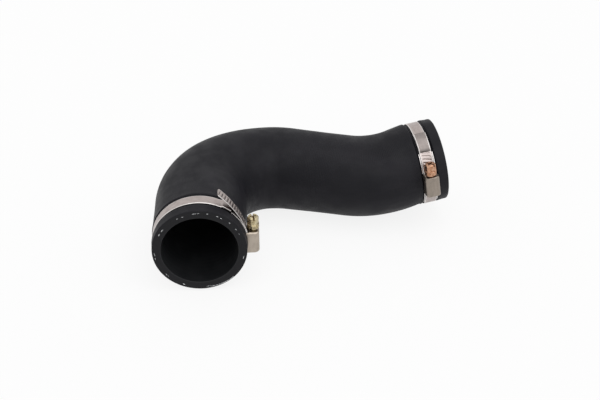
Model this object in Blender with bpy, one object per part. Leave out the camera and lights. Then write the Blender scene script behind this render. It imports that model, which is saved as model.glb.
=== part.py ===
"""Moulded rubber turbo hose, lying on its side, with a worm-drive clamp at each end.

Units are metres, +Z is up. The hose is swept along a centreline of four straight legs and three
bends. Each clamp is built in its own frame, whose X points from the hose's axis out through the
worm housing, whose Y runs along the screw towards its head, and whose Z is the hose's axis.
"""
import math

import bmesh
import bpy
from mathutils import Matrix, Vector

# Hose, driving dimensions
BORE_RADIUS = 0.0265
WALL_FRONT_MOUTH = 0.0061
WALL_FRONT_LEG = 0.0069
WALL_ELBOW = 0.0072
WALL_MIDDLE = 0.0055
WALL_REAR_BEND = 0.0047
WALL_REAR_SEAT = 0.0046
WALL_REAR_MOUTH = 0.0049
FRONT_LEG = 0.1269
MIDDLE_LEG = 0.1388
REAR_LEG = 0.0274
LIP_LEG = 0.0236
FRONT_HEADING = math.radians(94.1)
FRONT_TURN = math.radians(-107.0)
REAR_TURN = math.radians(30.9)
REAR_RISE = math.radians(15.3)
LIP_TURN = math.radians(-8.2)
LIP_RISE = math.radians(9.1)
FRONT_BEND_RADIUS = 0.0523
REAR_BEND_RADIUS = 0.0729
LIP_BEND_RADIUS = 0.0420

# Clamps, driving dimensions
CLAMP_INSET = 0.0140
BITE = 0.0008
SHOULDER = 0.0010
SWELL = 0.0004
SWELL_LENGTH = 0.0045
BAND_WIDTH = 0.009
BAND_THICKNESS = 0.0006
SADDLE_THICKNESS = 0.0006
HOUSING_SHEET = 0.0007
SCREW_CREST_RADIUS = 0.0030
SCREW_ROOT_RADIUS = 0.0022
SCREW_PILOT_RADIUS = 0.0012
SCREW_NECK_RADIUS = 0.0023
THREAD_PITCH = 0.0027
HOUSING_HEAD_REACH = 0.0071
HOUSING_TIP_REACH = 0.0094
HOUSING_ROOF_RADIUS = 0.0028
HOUSING_TIP_CHAMFER = 0.0014
FLANGE_RADIUS = 0.00415
FLANGE_THICKNESS = 0.0033
HEX_ACROSS_FLATS = 0.007
HEX_LENGTH = 0.0056
HEX_CHAMFER = 0.0008
SLOT_WIDTH = 0.0011
SLOT_DEPTH = 0.0019
SLOT_TURN = math.radians(28)
CROSS_LENGTH = 0.0044
SADDLE_TIP_ANGLE = math.radians(-42)
LAP_LENGTH = 0.0052
RIM_HEIGHT = 0.0006
BAND_RISE_START = math.radians(-62)
BAND_RISE_END = math.radians(-45)
STEP_LENGTH = 0.0021
TAIL_SLOT_LENGTH = 0.0062
TAIL_SLOT_WIDTH = 0.0012
TAIL_SLOT_DEPTH = 0.00035
TAIL_SLOT_SLANT = math.radians(14)
TAIL_CORNER = 0.0012

# Each clamp's own setting on the hose
FRONT_CLAMP_AIM = math.radians(0)
FRONT_SCREW_TURN = math.radians(53)
FRONT_TRAY_END_ANGLE = math.radians(48.5)
FRONT_TAIL_LENGTH = 0.0367
FRONT_TAIL_LIFT_ANGLE = math.radians(20)
FRONT_TAIL_RADIUS = 0.069
FRONT_TAIL_PLAIN = 0.0019
REAR_CLAMP_AIM = math.radians(3)
REAR_SCREW_TURN = math.radians(-69)
REAR_TRAY_END_ANGLE = math.radians(41.7)
REAR_TAIL_LENGTH = 0.0322
REAR_TAIL_PLAIN = 0.0170
REAR_TAIL_RAMP = 0.0037
REAR_TAIL_LEAD = 0.0024

# Gaps between touching pieces
GAP = 0.00025
TURNING_GAP = 0.0003

# Mesh fineness
HOSE_SIDES = 36
BEND_STEP = math.radians(7.5)
BAND_STEP = math.radians(6)
ROUND_SIDES = 24
THREAD_RINGS_PER_TURN = 5


def clear_scene():
    """Remove every object that the scene starts with."""
    for old in list(bpy.data.objects):
        bpy.data.objects.remove(old, do_unlink=True)


def make_material(name, colour, roughness, metallic):
    """Give a plain shader of one colour."""
    material = bpy.data.materials.new(name)
    material.use_nodes = True
    shader = material.node_tree.nodes["Principled BSDF"]
    shader.inputs["Base Color"].default_value = (*colour, 1.0)
    shader.inputs["Roughness"].default_value = roughness
    shader.inputs["Metallic"].default_value = metallic
    return material


def add_object(name, mesh, material, parent, placement=None):
    """Put a mesh in the scene as a named, smooth-shaded object."""
    mesh.materials.append(material)
    mesh.shade_smooth()
    mesh.set_sharp_from_angle(angle=math.radians(32))
    piece = bpy.data.objects.new(name, mesh)
    bpy.context.scene.collection.objects.link(piece)
    piece.parent = parent
    if placement is not None:
        piece.matrix_local = placement
    return piece


def finish_mesh(bm, name):
    """Turn a closed bmesh into a mesh whose faces point out."""
    bmesh.ops.recalc_face_normals(bm, faces=bm.faces)
    mesh = bpy.data.meshes.new(name)
    bm.to_mesh(mesh)
    bm.free()
    return mesh


def combine(target, others, operation):
    """Apply one exact boolean of several objects to the target's mesh and drop those objects."""
    for other in others:
        modifier = target.modifiers.new("combine", "BOOLEAN")
        modifier.operation = operation
        modifier.solver = "EXACT"
        modifier.object = other
    bpy.context.view_layer.update()
    graph = bpy.context.evaluated_depsgraph_get()
    mesh = bpy.data.meshes.new_from_object(target.evaluated_get(graph))
    target.modifiers.clear()
    target.data = mesh
    for other in others:
        bpy.data.objects.remove(other, do_unlink=True)
    mesh.shade_smooth()
    mesh.set_sharp_from_angle(angle=math.radians(32))


def loft(rings, name):
    """Skin a row of equal point rings into one closed tube with flat ends."""
    bm = bmesh.new()
    rows = [[bm.verts.new(point) for point in ring] for ring in rings]
    count = len(rows[0])
    for near, far in zip(rows, rows[1:]):
        for i in range(count):
            j = (i + 1) % count
            bm.faces.new((near[i], near[j], far[j], far[i]))
    bm.faces.new(rows[0])
    bm.faces.new(list(reversed(rows[-1])))
    return finish_mesh(bm, name)


def smooth_step(value):
    """Ease from 0 to 1 with level ends."""
    value = min(max(value, 0.0), 1.0)
    return value * value * (3 - 2 * value)


def heading_vector(heading, rise=0.0):
    """Unit vector of a compass heading and a rise above the level."""
    level = math.cos(rise)
    return Vector((level * math.cos(heading), level * math.sin(heading), math.sin(rise)))


class HosePath:
    """Centreline of the hose: four straight legs joined by three arcs."""

    def __init__(self):
        middle_heading = FRONT_HEADING + FRONT_TURN
        rear_heading = middle_heading + REAR_TURN
        legs = (
            heading_vector(FRONT_HEADING) * FRONT_LEG,
            heading_vector(middle_heading) * MIDDLE_LEG,
            heading_vector(rear_heading, REAR_RISE) * REAR_LEG,
            heading_vector(rear_heading + LIP_TURN, LIP_RISE) * LIP_LEG,
        )
        radii = (FRONT_BEND_RADIUS, REAR_BEND_RADIUS, LIP_BEND_RADIUS)
        self.pieces = []
        start = Vector((0, 0, 0))
        elbow = Vector((0, 0, 0))
        for leg, next_leg, radius in zip(legs, legs[1:], radii):
            elbow = elbow + leg
            before, after = leg.normalized(), next_leg.normalized()
            turn = before.angle(after)
            setback = radius * math.tan(turn / 2)
            bend_start = elbow - before * setback
            self.pieces.append(("leg", start, before, (bend_start - start).length))
            side = (after - before * after.dot(before)).normalized()
            self.pieces.append(("bend", bend_start, before, radius * turn, radius, side))
            start = elbow + after * setback
        end = elbow + legs[-1]
        self.pieces.append(("leg", start, legs[-1].normalized(), (end - start).length))
        self.length = sum(piece[3] for piece in self.pieces)

    def stations(self, leg_marks=()):
        """Distances along the path at which the sweep needs a ring."""
        marks = set(leg_marks)
        at = 0.0
        for piece in self.pieces:
            marks.add(at)
            if piece[0] == "bend":
                steps = max(2, round(piece[3] / piece[4] / BEND_STEP))
                marks.update(at + piece[3] * i / steps for i in range(1, steps))
            at += piece[3]
        marks.add(self.length)
        ordered = sorted(marks)
        kept = [ordered[0]]
        for mark in ordered[1:]:
            if mark - kept[-1] > 0.0002:
                kept.append(mark)
        kept[-1] = self.length
        return kept

    def frame(self, distance):
        """Point and direction at a distance along the path."""
        at = 0.0
        for piece in self.pieces:
            if distance <= at + piece[3] + 1e-9 or piece is self.pieces[-1]:
                break
            at += piece[3]
        along = distance - at
        if piece[0] == "leg":
            return piece[1] + piece[2] * along, piece[2].copy()
        angle = along / piece[4]
        ahead, side, radius = piece[2], piece[5], piece[4]
        point = piece[1] + ahead * (radius * math.sin(angle)) + side * (radius * (1 - math.cos(angle)))
        return point, ahead * math.cos(angle) + side * math.sin(angle)


def hose_wall(path, distance):
    """Unclamped wall thickness at a distance along the hose."""
    share = distance / path.length
    wall_marks = (
        (0.00, WALL_FRONT_MOUTH),
        (0.12, WALL_FRONT_LEG),
        (0.30, WALL_ELBOW),
        (0.50, WALL_MIDDLE),
        (0.70, WALL_REAR_BEND),
        (0.86, WALL_REAR_SEAT),
        (1.00, WALL_REAR_MOUTH),
    )
    for (low, wall), (high, next_wall) in zip(wall_marks, wall_marks[1:]):
        if share <= high:
            return wall + (next_wall - wall) * smooth_step((share - low) / (high - low))
    return WALL_REAR_MOUTH


def groove_half_width():
    """Half the width of the flat that a clamp presses into the rubber."""
    return BAND_WIDTH / 2 + GAP + SADDLE_THICKNESS + GAP


def groove_radius(path, centre):
    """Hose radius at the bottom of a clamp's groove."""
    return BORE_RADIUS + hose_wall(path, centre) - BITE


def outer_radius(path, distance, seats):
    """Hose radius outside: pressed in under each clamp and swollen a little beside it."""
    radius = BORE_RADIUS + hose_wall(path, distance)
    for centre in seats:
        beside = abs(distance - centre) - groove_half_width()
        if beside <= 1e-6:
            return groove_radius(path, centre)
        share = (beside - SHOULDER) / SWELL_LENGTH
        if share < 1:
            return radius + SWELL * (1 - smooth_step(share))
    return radius


def ring(path, distance, radius, side_axis):
    """Points round the hose at one station."""
    centre, ahead = path.frame(distance)
    across = side_axis.cross(ahead).normalized()
    above = ahead.cross(across).normalized()
    points = []
    for i in range(HOSE_SIDES):
        angle = 2 * math.pi * i / HOSE_SIDES
        points.append(centre + across * (radius * math.cos(angle)) + above * (radius * math.sin(angle)))
    return points


def build_hose(path, seats, material, parent):
    """Sweep the outside and the bore, and join them at two flat cut ends."""
    up = Vector((0, 0, 1))
    marks = []
    for centre in seats:
        for reach in (0.0, SHOULDER, SHOULDER + SWELL_LENGTH / 2, SHOULDER + SWELL_LENGTH):
            half = groove_half_width() + reach
            marks += [centre - half, centre + half]
    marks = [mark for mark in marks if 0 < mark < path.length]
    bm = bmesh.new()
    skins = []
    for distances, inside in ((path.stations(marks), False), (path.stations(), True)):
        rows = []
        for distance in distances:
            radius = BORE_RADIUS if inside else outer_radius(path, distance, seats)
            rows.append([bm.verts.new(point) for point in ring(path, distance, radius, up)])
        skins.append(rows)
    outer, bore = skins
    for rows in skins:
        for near, far in zip(rows, rows[1:]):
            for i in range(HOSE_SIDES):
                j = (i + 1) % HOSE_SIDES
                bm.faces.new((near[i], near[j], far[j], far[i]))
    for end in (0, -1):
        for i in range(HOSE_SIDES):
            j = (i + 1) % HOSE_SIDES
            bm.faces.new((outer[end][i], outer[end][j], bore[end][j], bore[end][i]))
    return add_object("hose_body", finish_mesh(bm, "hose_body"), material, parent)


def polar(radius, angle, z=0.0):
    """Point of a clamp's own frame."""
    return Vector((radius * math.cos(angle), radius * math.sin(angle), z))


def path_normals(points):
    """Outward normal at each point of a flat open line."""
    normals = []
    for i in range(len(points)):
        before = points[max(i - 1, 0)]
        after = points[min(i + 1, len(points) - 1)]
        along = (after - before).normalized()
        normals.append(Vector((along.y, -along.x, 0)))
    return normals


def strip_mesh(points, thickness, half_widths, name):
    """Sheet metal strip along a line of points through the middle of its thickness."""
    rings = []
    for point, normal, half in zip(points, path_normals(points), half_widths):
        inner = point - normal * thickness / 2
        outer = point + normal * thickness / 2
        z = Vector((0, 0, half))
        rings.append([inner - z, outer - z, outer + z, inner + z])
    return loft(rings, name)


def angles_between(start, end, step):
    """Evenly spaced angles, both ends included."""
    count = max(1, math.ceil(abs(end - start) / step))
    return [start + (end - start) * i / count for i in range(count + 1)]


class ClampSizes:
    """Radii of one clamp's layers, from the groove outward, and the angles at which they end."""

    def __init__(self, seat_radius, tray_end, band_lead=0.0):
        self.seat = seat_radius
        self.saddle_mid = seat_radius + GAP + SADDLE_THICKNESS / 2
        self.band_mid = seat_radius + GAP + BAND_THICKNESS / 2
        self.upper_mid = seat_radius + 2 * GAP + SADDLE_THICKNESS + BAND_THICKNESS / 2
        self.screw_axis = self.upper_mid + BAND_THICKNESS / 2 + TURNING_GAP + SCREW_CREST_RADIUS
        self.over_lap_mid = self.upper_mid + BAND_THICKNESS + GAP
        self.tray_end = tray_end
        self.band_end = tray_end + band_lead / self.upper_mid
        self.saddle_end = self.band_end + LAP_LENGTH / self.saddle_mid
        self.exit_angle = math.atan2(HOUSING_HEAD_REACH, self.upper_mid)
        band_top = self.upper_mid + BAND_THICKNESS / 2
        flange_foot = self.screw_axis - FLANGE_RADIUS - TURNING_GAP
        clear_of_band = math.sqrt(max(band_top**2 - flange_foot**2, 0.0))
        self.flange_start = max(HOUSING_HEAD_REACH + TURNING_GAP, clear_of_band)


def free_tail(sizes):
    """Front clamp's tail: past the screw's head it springs off the hose in a wider arc."""
    held = angles_between(sizes.exit_angle, FRONT_TAIL_LIFT_ANGLE, BAND_STEP)[1:]
    free_length = FRONT_TAIL_LENGTH - (FRONT_TAIL_LIFT_ANGLE - sizes.exit_angle) * sizes.upper_mid
    turns = angles_between(0.0, free_length / FRONT_TAIL_RADIUS, BAND_STEP)[1:]
    pivot = polar(sizes.upper_mid - FRONT_TAIL_RADIUS, FRONT_TAIL_LIFT_ANGLE)
    free = [pivot + polar(FRONT_TAIL_RADIUS, FRONT_TAIL_LIFT_ANGLE + turn) for turn in turns]
    return [polar(sizes.upper_mid, angle) for angle in held] + free


def lying_tail(sizes):
    """Rear clamp's tail: past the tray it climbs over the band's fixed end and lies on it."""
    ramp = REAR_TAIL_RAMP / sizes.upper_mid
    end = sizes.exit_angle + REAR_TAIL_LENGTH / sizes.upper_mid
    climb = sizes.tray_end
    spots = [(angle, sizes.upper_mid) for angle in angles_between(sizes.exit_angle, climb, BAND_STEP)[1:]]
    for angle in angles_between(climb, climb + ramp, BAND_STEP / 2)[1:]:
        left = 1 - (angle - climb) / ramp
        spots.append((angle, sizes.over_lap_mid - (sizes.over_lap_mid - sizes.upper_mid) * left**2))
    spots += [(angle, sizes.over_lap_mid) for angle in angles_between(climb + ramp, end, BAND_STEP)[1:]]
    return [polar(radius, angle) for angle, radius in spots]


def build_band(label, sizes, tail, plain, material, parent, placement):
    """Band: from its fixed end over the saddle's tongue, round the hose, through the housing."""
    step_start = sizes.saddle_end + 2 * GAP / sizes.band_mid
    step_end = step_start + STEP_LENGTH / sizes.band_mid
    full_turn = 2 * math.pi
    loop_end = full_turn + BAND_RISE_START
    rise_end = full_turn + BAND_RISE_END
    points = [polar(sizes.upper_mid, angle) for angle in angles_between(sizes.band_end, step_start, BAND_STEP)]
    points += [polar(sizes.band_mid, angle) for angle in angles_between(step_end, loop_end, BAND_STEP)]
    for angle in angles_between(loop_end, rise_end, BAND_STEP / 2)[1:]:
        share = smooth_step((angle - loop_end) / (rise_end - loop_end))
        points.append(polar(sizes.band_mid + (sizes.upper_mid - sizes.band_mid) * share, angle))
    for angle in angles_between(rise_end, full_turn + sizes.exit_angle, BAND_STEP)[1:]:
        points.append(polar(sizes.upper_mid, angle))
    points += tail
    points.insert(-1, points[-1] + (points[-2] - points[-1]).normalized() * TAIL_CORNER)
    halves = [BAND_WIDTH / 2] * (len(points) - 1) + [BAND_WIDTH / 2 - TAIL_CORNER]
    mesh = strip_mesh(points, BAND_THICKNESS, halves, label + "_clamp_band")
    band = add_object(label + "_clamp_band", mesh, material, parent, placement)
    cutter = thread_slot_cutter(points, plain, line_length(tail), material, parent, placement)
    combine(band, [cutter], "DIFFERENCE")
    return band


def line_length(points):
    """Length of a line of points."""
    return sum((far - near).length for near, far in zip(points, points[1:]))


def thread_slot_cutter(points, plain, tail_length, material, parent, placement):
    """Slanted slots pressed into the free end past its plain tip, one for each pitch of the thread."""
    bm = bmesh.new()
    threaded = tail_length + HOUSING_HEAD_REACH + HOUSING_TIP_REACH
    line = list(reversed(points))
    travelled = 0.0
    next_slot = plain
    for near, far in zip(line, line[1:]):
        stretch = (far - near).length
        while next_slot < travelled + stretch and next_slot < threaded:
            along = (near - far).normalized()
            normal = Vector((along.y, -along.x, 0))
            centre = near - along * (next_slot - travelled) + normal * (BAND_THICKNESS / 2)
            turn = Matrix((along, normal, (0, 0, 1))).transposed().to_4x4()
            slant = Matrix.Rotation(TAIL_SLOT_SLANT, 4, "Y")
            size = Matrix.Diagonal((TAIL_SLOT_WIDTH, 2 * TAIL_SLOT_DEPTH, TAIL_SLOT_LENGTH, 1))
            bmesh.ops.create_cube(bm, size=1.0, matrix=Matrix.Translation(centre) @ turn @ slant @ size)
            next_slot += THREAD_PITCH
        travelled += stretch
    return cutter_object(finish_mesh(bm, "thread_slots"), material, parent, placement)


def cutter_object(mesh, material, parent, placement):
    """Object that is only used to cut or join, and never built."""
    cutter = add_object("cutter", mesh, material, parent, placement)
    cutter.hide_render = True
    cutter.display_type = "WIRE"
    return cutter


def tray_mesh(line, inner_half, outer_half):
    """Channel with a rim along both edges, following a line through its floor."""
    rings = []
    for point, normal in zip(line, path_normals(line)):
        under = point - normal * SADDLE_THICKNESS / 2
        floor = point + normal * SADDLE_THICKNESS / 2
        rim = floor + normal * RIM_HEIGHT
        wide = Vector((0, 0, outer_half))
        narrow = Vector((0, 0, inner_half))
        rings.append([
            under - wide, rim - wide, rim - narrow, floor - narrow,
            floor + narrow, rim + narrow, rim + wide, under + wide,
        ])
    return loft(rings, "tray")


def build_saddle(label, sizes, material, parent, placement):
    """Saddle: a strip under the housing, rimmed on both sides of it, with a tongue under the band's end."""
    clearance = 2 * GAP / sizes.saddle_mid
    tip_tray_end = -math.atan2(HOUSING_TIP_REACH, sizes.saddle_mid) - clearance
    head_tray_start = sizes.exit_angle + clearance
    tip_tray = angles_between(SADDLE_TIP_ANGLE, tip_tray_end, BAND_STEP)
    under_housing = angles_between(tip_tray_end, head_tray_start, BAND_STEP)
    head_tray_end = sizes.tray_end - clearance
    head_tray = angles_between(head_tray_start, head_tray_end, BAND_STEP)
    tongue = angles_between(head_tray_end, sizes.saddle_end, BAND_STEP)
    angles = tip_tray + under_housing[1:] + head_tray[1:] + tongue[1:]
    floor = [polar(sizes.saddle_mid, angle) for angle in angles]
    name = label + "_clamp_saddle"
    strip = strip_mesh(floor, SADDLE_THICKNESS, [BAND_WIDTH / 2] * len(floor), name)
    saddle = add_object(name, strip, material, parent, placement)
    inner_half = BAND_WIDTH / 2 + GAP
    trays = []
    for angles in (tip_tray, head_tray):
        line = [polar(sizes.saddle_mid, angle) for angle in angles]
        mesh = tray_mesh(line, inner_half, inner_half + SADDLE_THICKNESS)
        trays.append(cutter_object(mesh, material, parent, placement))
    combine(saddle, trays, "UNION")
    return saddle


def tunnel_outline(half_width, foot, roof, corner):
    """Cross-section of the housing: straight sides and a rounded roof, as (x, z) points."""
    outline = [(foot, -half_width)]
    for i in range(6):
        angle = math.radians(90 * i / 5)
        outline.append((roof - corner + corner * math.sin(angle), -half_width + corner - corner * math.cos(angle)))
    outline += [(x, -z) for x, z in reversed(outline)]
    return outline


def tunnel_mesh(outline, start, end, chamfer, name):
    """Extrude a housing outline along the screw, with its roof chamfered at the start."""
    roof = max(x for x, _z in outline)
    rings = []
    if chamfer > 0:
        rings.append([Vector((min(x, roof - chamfer), start, z)) for x, z in outline])
    for y in (start + chamfer, end):
        rings.append([Vector((x, y, z)) for x, z in outline])
    return loft(rings, name)


def cylinder_mesh(radius, start, end, axis_x, name, sides=ROUND_SIDES):
    """Round bar along the screw."""
    rings = []
    for y in (start, end):
        angles = [2 * math.pi * i / sides for i in range(sides)]
        rings.append([Vector((axis_x + radius * math.cos(a), y, radius * math.sin(a))) for a in angles])
    return loft(rings, name)


def build_housing(label, sizes, material, parent, placement):
    """Worm housing: a folded tunnel over the screw, with an end wall at each end."""
    inner_half = BAND_WIDTH / 2 + GAP
    outer_half = inner_half + HOUSING_SHEET
    inner_roof = sizes.screw_axis + SCREW_CREST_RADIUS + TURNING_GAP
    outer_roof = inner_roof + HOUSING_SHEET
    foot = sizes.seat * math.cos(HOUSING_TIP_REACH / sizes.seat)
    head_end, tip_end = HOUSING_HEAD_REACH, -HOUSING_TIP_REACH
    name = label + "_clamp_housing"
    shell = tunnel_mesh(
        tunnel_outline(outer_half, foot, outer_roof, HOUSING_ROOF_RADIUS), tip_end, head_end,
        HOUSING_TIP_CHAMFER, name,
    )
    housing = add_object(name, shell, material, parent, placement)
    cuts = []
    cavity = tunnel_outline(inner_half, foot - HOUSING_SHEET, inner_roof, HOUSING_ROOF_RADIUS - HOUSING_SHEET)
    inner_chamfer = HOUSING_TIP_CHAMFER - (2 - math.sqrt(2)) * HOUSING_SHEET
    hollow = tunnel_mesh(cavity, tip_end + HOUSING_SHEET, head_end - HOUSING_SHEET, inner_chamfer, "hollow")
    cuts.append(cutter_object(hollow, material, parent, placement))
    passage = tunnel_outline(inner_half, foot - HOUSING_SHEET, sizes.upper_mid + BAND_THICKNESS / 2 + GAP, GAP)
    slot = tunnel_mesh(passage, tip_end - HOUSING_SHEET, head_end + HOUSING_SHEET, 0.0, "band_passage")
    cuts.append(cutter_object(slot, material, parent, placement))
    neck = cylinder_mesh(SCREW_NECK_RADIUS + TURNING_GAP, 0.0, head_end + HOUSING_SHEET, sizes.screw_axis, "neck_hole")
    cuts.append(cutter_object(neck, material, parent, placement))
    pilot = cylinder_mesh(
        SCREW_PILOT_RADIUS + TURNING_GAP, tip_end - HOUSING_SHEET, 0.0, sizes.screw_axis, "pilot_hole"
    )
    cuts.append(cutter_object(pilot, material, parent, placement))
    combine(housing, cuts, "DIFFERENCE")
    below = bmesh.new()
    bmesh.ops.create_cone(
        below, cap_ends=True, segments=4 * ROUND_SIDES, radius1=sizes.saddle_mid, radius2=sizes.saddle_mid,
        depth=4 * outer_half,
    )
    hose_side = cutter_object(finish_mesh(below, "hose_side"), material, parent, placement)
    combine(housing, [hose_side], "DIFFERENCE")
    return housing


def thread_radius(y, angle, start, end):
    """Radius of the worm at a height and angle: flat crest and root, fading out at both ends."""
    phase = (y / THREAD_PITCH - angle / (2 * math.pi)) % 1.0
    flank = min(max(4.0 * abs(phase - 0.5) - 0.5, 0.0), 1.0)
    fade = min((y - start) / THREAD_PITCH, (end - y) / THREAD_PITCH, 1.0)
    return SCREW_ROOT_RADIUS + (SCREW_CREST_RADIUS - SCREW_ROOT_RADIUS) * (1.0 - flank) * fade


def build_screw(label, sizes, turn, material, parent, placement):
    """Worm screw: pilot tip, thread, neck, flange and slotted hex head, turned about its own Y."""
    thread_start = -HOUSING_TIP_REACH + HOUSING_SHEET + TURNING_GAP
    thread_end = HOUSING_HEAD_REACH - HOUSING_SHEET - TURNING_GAP
    flange_start = sizes.flange_start
    flange_end = flange_start + FLANGE_THICKNESS
    head_end = flange_end + HEX_LENGTH
    angles = [2 * math.pi * i / ROUND_SIDES for i in range(ROUND_SIDES)]

    def turned_ring(y, radius_at):
        return [Vector((radius_at(a) * math.cos(a), y, radius_at(a) * math.sin(a))) for a in angles]

    def plain(y, radius):
        return turned_ring(y, lambda _angle: radius)

    rings = [plain(-HOUSING_TIP_REACH, SCREW_PILOT_RADIUS), plain(thread_start, SCREW_PILOT_RADIUS)]
    steps = round((thread_end - thread_start) / THREAD_PITCH * THREAD_RINGS_PER_TURN)
    for i in range(steps + 1):
        y = thread_start + (thread_end - thread_start) * i / steps
        rings.append(turned_ring(y, lambda a, height=y: thread_radius(height, a, thread_start, thread_end)))
    rings += [plain(thread_end, SCREW_NECK_RADIUS), plain(flange_start, SCREW_NECK_RADIUS)]
    rings += [plain(flange_start, FLANGE_RADIUS), plain(flange_end, FLANGE_RADIUS)]
    name = label + "_clamp_screw"
    offset = placement @ Matrix.Translation((sizes.screw_axis, 0, 0))
    screw = add_object(name, loft(rings, name), material, parent, offset)
    corner = HEX_ACROSS_FLATS / 2 / math.cos(math.radians(30))
    hex_angles = [turn + math.radians(60 * i) for i in range(6)]
    hex_rows = ((flange_end - FLANGE_THICKNESS / 2, corner), (head_end - HEX_CHAMFER, corner))
    hex_rows += ((head_end, corner - HEX_CHAMFER),)
    hex_rings = [[Vector((r * math.cos(a), y, r * math.sin(a))) for a in hex_angles] for y, r in hex_rows]
    head = cutter_object(loft(hex_rings, "hex_head"), material, parent, offset)
    combine(screw, [head], "UNION")
    cuts = []
    for length, width in ((3 * FLANGE_RADIUS, SLOT_WIDTH), (SLOT_WIDTH, CROSS_LENGTH)):
        bm = bmesh.new()
        size = Matrix.Diagonal((length, 2 * SLOT_DEPTH, width, 1))
        slot_turn = Matrix.Rotation(-turn - SLOT_TURN, 4, "Y")
        bmesh.ops.create_cube(bm, size=1.0, matrix=Matrix.Translation((0, head_end, 0)) @ slot_turn @ size)
        cuts.append(cutter_object(finish_mesh(bm, "slot"), material, parent, offset))
    combine(screw, cuts, "DIFFERENCE")
    return screw


def build_clamp(label, sizes, tail, plain, turn, materials, parent, placement):
    """Build the four pieces of one worm-drive clamp."""
    steel, plated = materials
    build_band(label, sizes, tail, plain, steel, parent, placement)
    build_saddle(label, sizes, steel, parent, placement)
    build_housing(label, sizes, steel, parent, placement)
    build_screw(label, sizes, turn, plated, parent, placement)


def clamp_placement(path, centre, outward, aim):
    """Frame of a clamp whose housing points to one side, turned by its aim."""
    point, ahead = path.frame(centre)
    above = Vector((0, 0, 1))
    above = (above - ahead * above.dot(ahead)).normalized()
    side = ahead.cross(above)
    if side.dot(outward) < 0:
        side = -side
    radial = side * math.cos(aim) + above * math.sin(aim)
    tangent = above * math.cos(aim) - side * math.sin(aim)
    axis = radial.cross(tangent)
    matrix = Matrix((radial, tangent, axis)).transposed().to_4x4()
    matrix.translation = point
    return matrix


def rest_on_floor(root):
    """Move the whole part so that its lowest point and its middle are at the origin."""
    bpy.context.view_layer.update()
    corners = []
    for piece in root.children:
        corners += [piece.matrix_world @ vertex.co for vertex in piece.data.vertices]
    low = [min(corner[i] for corner in corners) for i in range(3)]
    high = [max(corner[i] for corner in corners) for i in range(3)]
    root.location = (-(low[0] + high[0]) / 2, -(low[1] + high[1]) / 2, -low[2])
    bpy.context.view_layer.update()


def main():
    clear_scene()
    root = bpy.data.objects.new("hose_frame", None)
    bpy.context.scene.collection.objects.link(root)
    rubber = make_material("black_rubber", (0.024, 0.024, 0.028), 0.55, 0.0)
    steel = make_material("clamp_steel", (0.62, 0.58, 0.55), 0.35, 1.0)
    yellow = make_material("yellow_zinc", (0.75, 0.60, 0.28), 0.3, 1.0)
    copper = make_material("copper_zinc", (0.80, 0.45, 0.25), 0.3, 1.0)
    path = HosePath()
    front_seat = CLAMP_INSET
    rear_seat = path.length - CLAMP_INSET
    build_hose(path, (front_seat, rear_seat), rubber, root)
    front = ClampSizes(groove_radius(path, front_seat), FRONT_TRAY_END_ANGLE)
    rear = ClampSizes(groove_radius(path, rear_seat), REAR_TRAY_END_ANGLE, REAR_TAIL_RAMP + REAR_TAIL_LEAD)
    front_place = clamp_placement(path, front_seat, Vector((1, 0, 0)), FRONT_CLAMP_AIM)
    rear_place = clamp_placement(path, rear_seat, Vector((0, -1, 0)), REAR_CLAMP_AIM)
    front_tail, rear_tail = free_tail(front), lying_tail(rear)
    build_clamp("front", front, front_tail, FRONT_TAIL_PLAIN, FRONT_SCREW_TURN, (steel, yellow), root, front_place)
    build_clamp("rear", rear, rear_tail, REAR_TAIL_PLAIN, REAR_SCREW_TURN, (steel, copper), root, rear_place)
    rest_on_floor(root)


main()
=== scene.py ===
"""Dress a moulded rubber turbo hose and its two worm-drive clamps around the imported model.

All sizes are in metres in the row frame: X to the right, Y away from the camera and Z up. The hose
is swept along its own centreline. Each clamp is shaped in a frame of its own, whose X points from
the hose's axis out through the worm housing, whose Y runs along the screw towards its head, and
whose Z is the hose's axis.
"""
import logging
import math
import random
from collections.abc import Callable, Sequence
from dataclasses import dataclass, field
from enum import Enum, IntEnum

import bmesh
import bpy
from mathutils import Matrix, Vector, noise


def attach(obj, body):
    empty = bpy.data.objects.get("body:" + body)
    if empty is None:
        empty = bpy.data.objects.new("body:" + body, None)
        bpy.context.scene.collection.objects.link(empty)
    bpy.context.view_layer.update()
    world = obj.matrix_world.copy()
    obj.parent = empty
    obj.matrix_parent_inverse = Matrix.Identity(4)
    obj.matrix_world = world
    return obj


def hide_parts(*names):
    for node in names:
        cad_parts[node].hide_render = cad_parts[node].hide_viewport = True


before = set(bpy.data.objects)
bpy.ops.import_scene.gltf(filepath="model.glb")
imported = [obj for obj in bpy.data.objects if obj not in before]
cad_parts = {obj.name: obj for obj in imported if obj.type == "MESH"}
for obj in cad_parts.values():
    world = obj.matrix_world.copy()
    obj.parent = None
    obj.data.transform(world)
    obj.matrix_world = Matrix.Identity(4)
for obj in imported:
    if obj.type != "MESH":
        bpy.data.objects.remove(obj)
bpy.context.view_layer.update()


LAY = "lay"
HOSE_BODY = "clamped_hose"

log = logging.getLogger("turbo_hose")

Colour = tuple[float, float, float]
Socket = bpy.types.NodeSocket


class Side(Enum):
    """The two ends of the hose."""

    FRONT = "front"
    REAR = "rear"


class WallFinish(IntEnum):
    """Material slots of the hose's wall."""

    OUTSIDE = 0
    CUT = 1
    BORE = 2


class TailKind(Enum):
    """How a clamp's free end lies past the screw's head."""

    SPRUNG = "stands off the hose"
    LYING = "lies on the band"


def ease(value: float) -> float:
    """Rise from 0 to 1 with level ends.

    Args:
        value: Share of the way, clamped to 0 to 1.

    Returns:
        The eased share.
    """
    value = min(max(value, 0.0), 1.0)
    return value * value * (3 - 2 * value)


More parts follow.
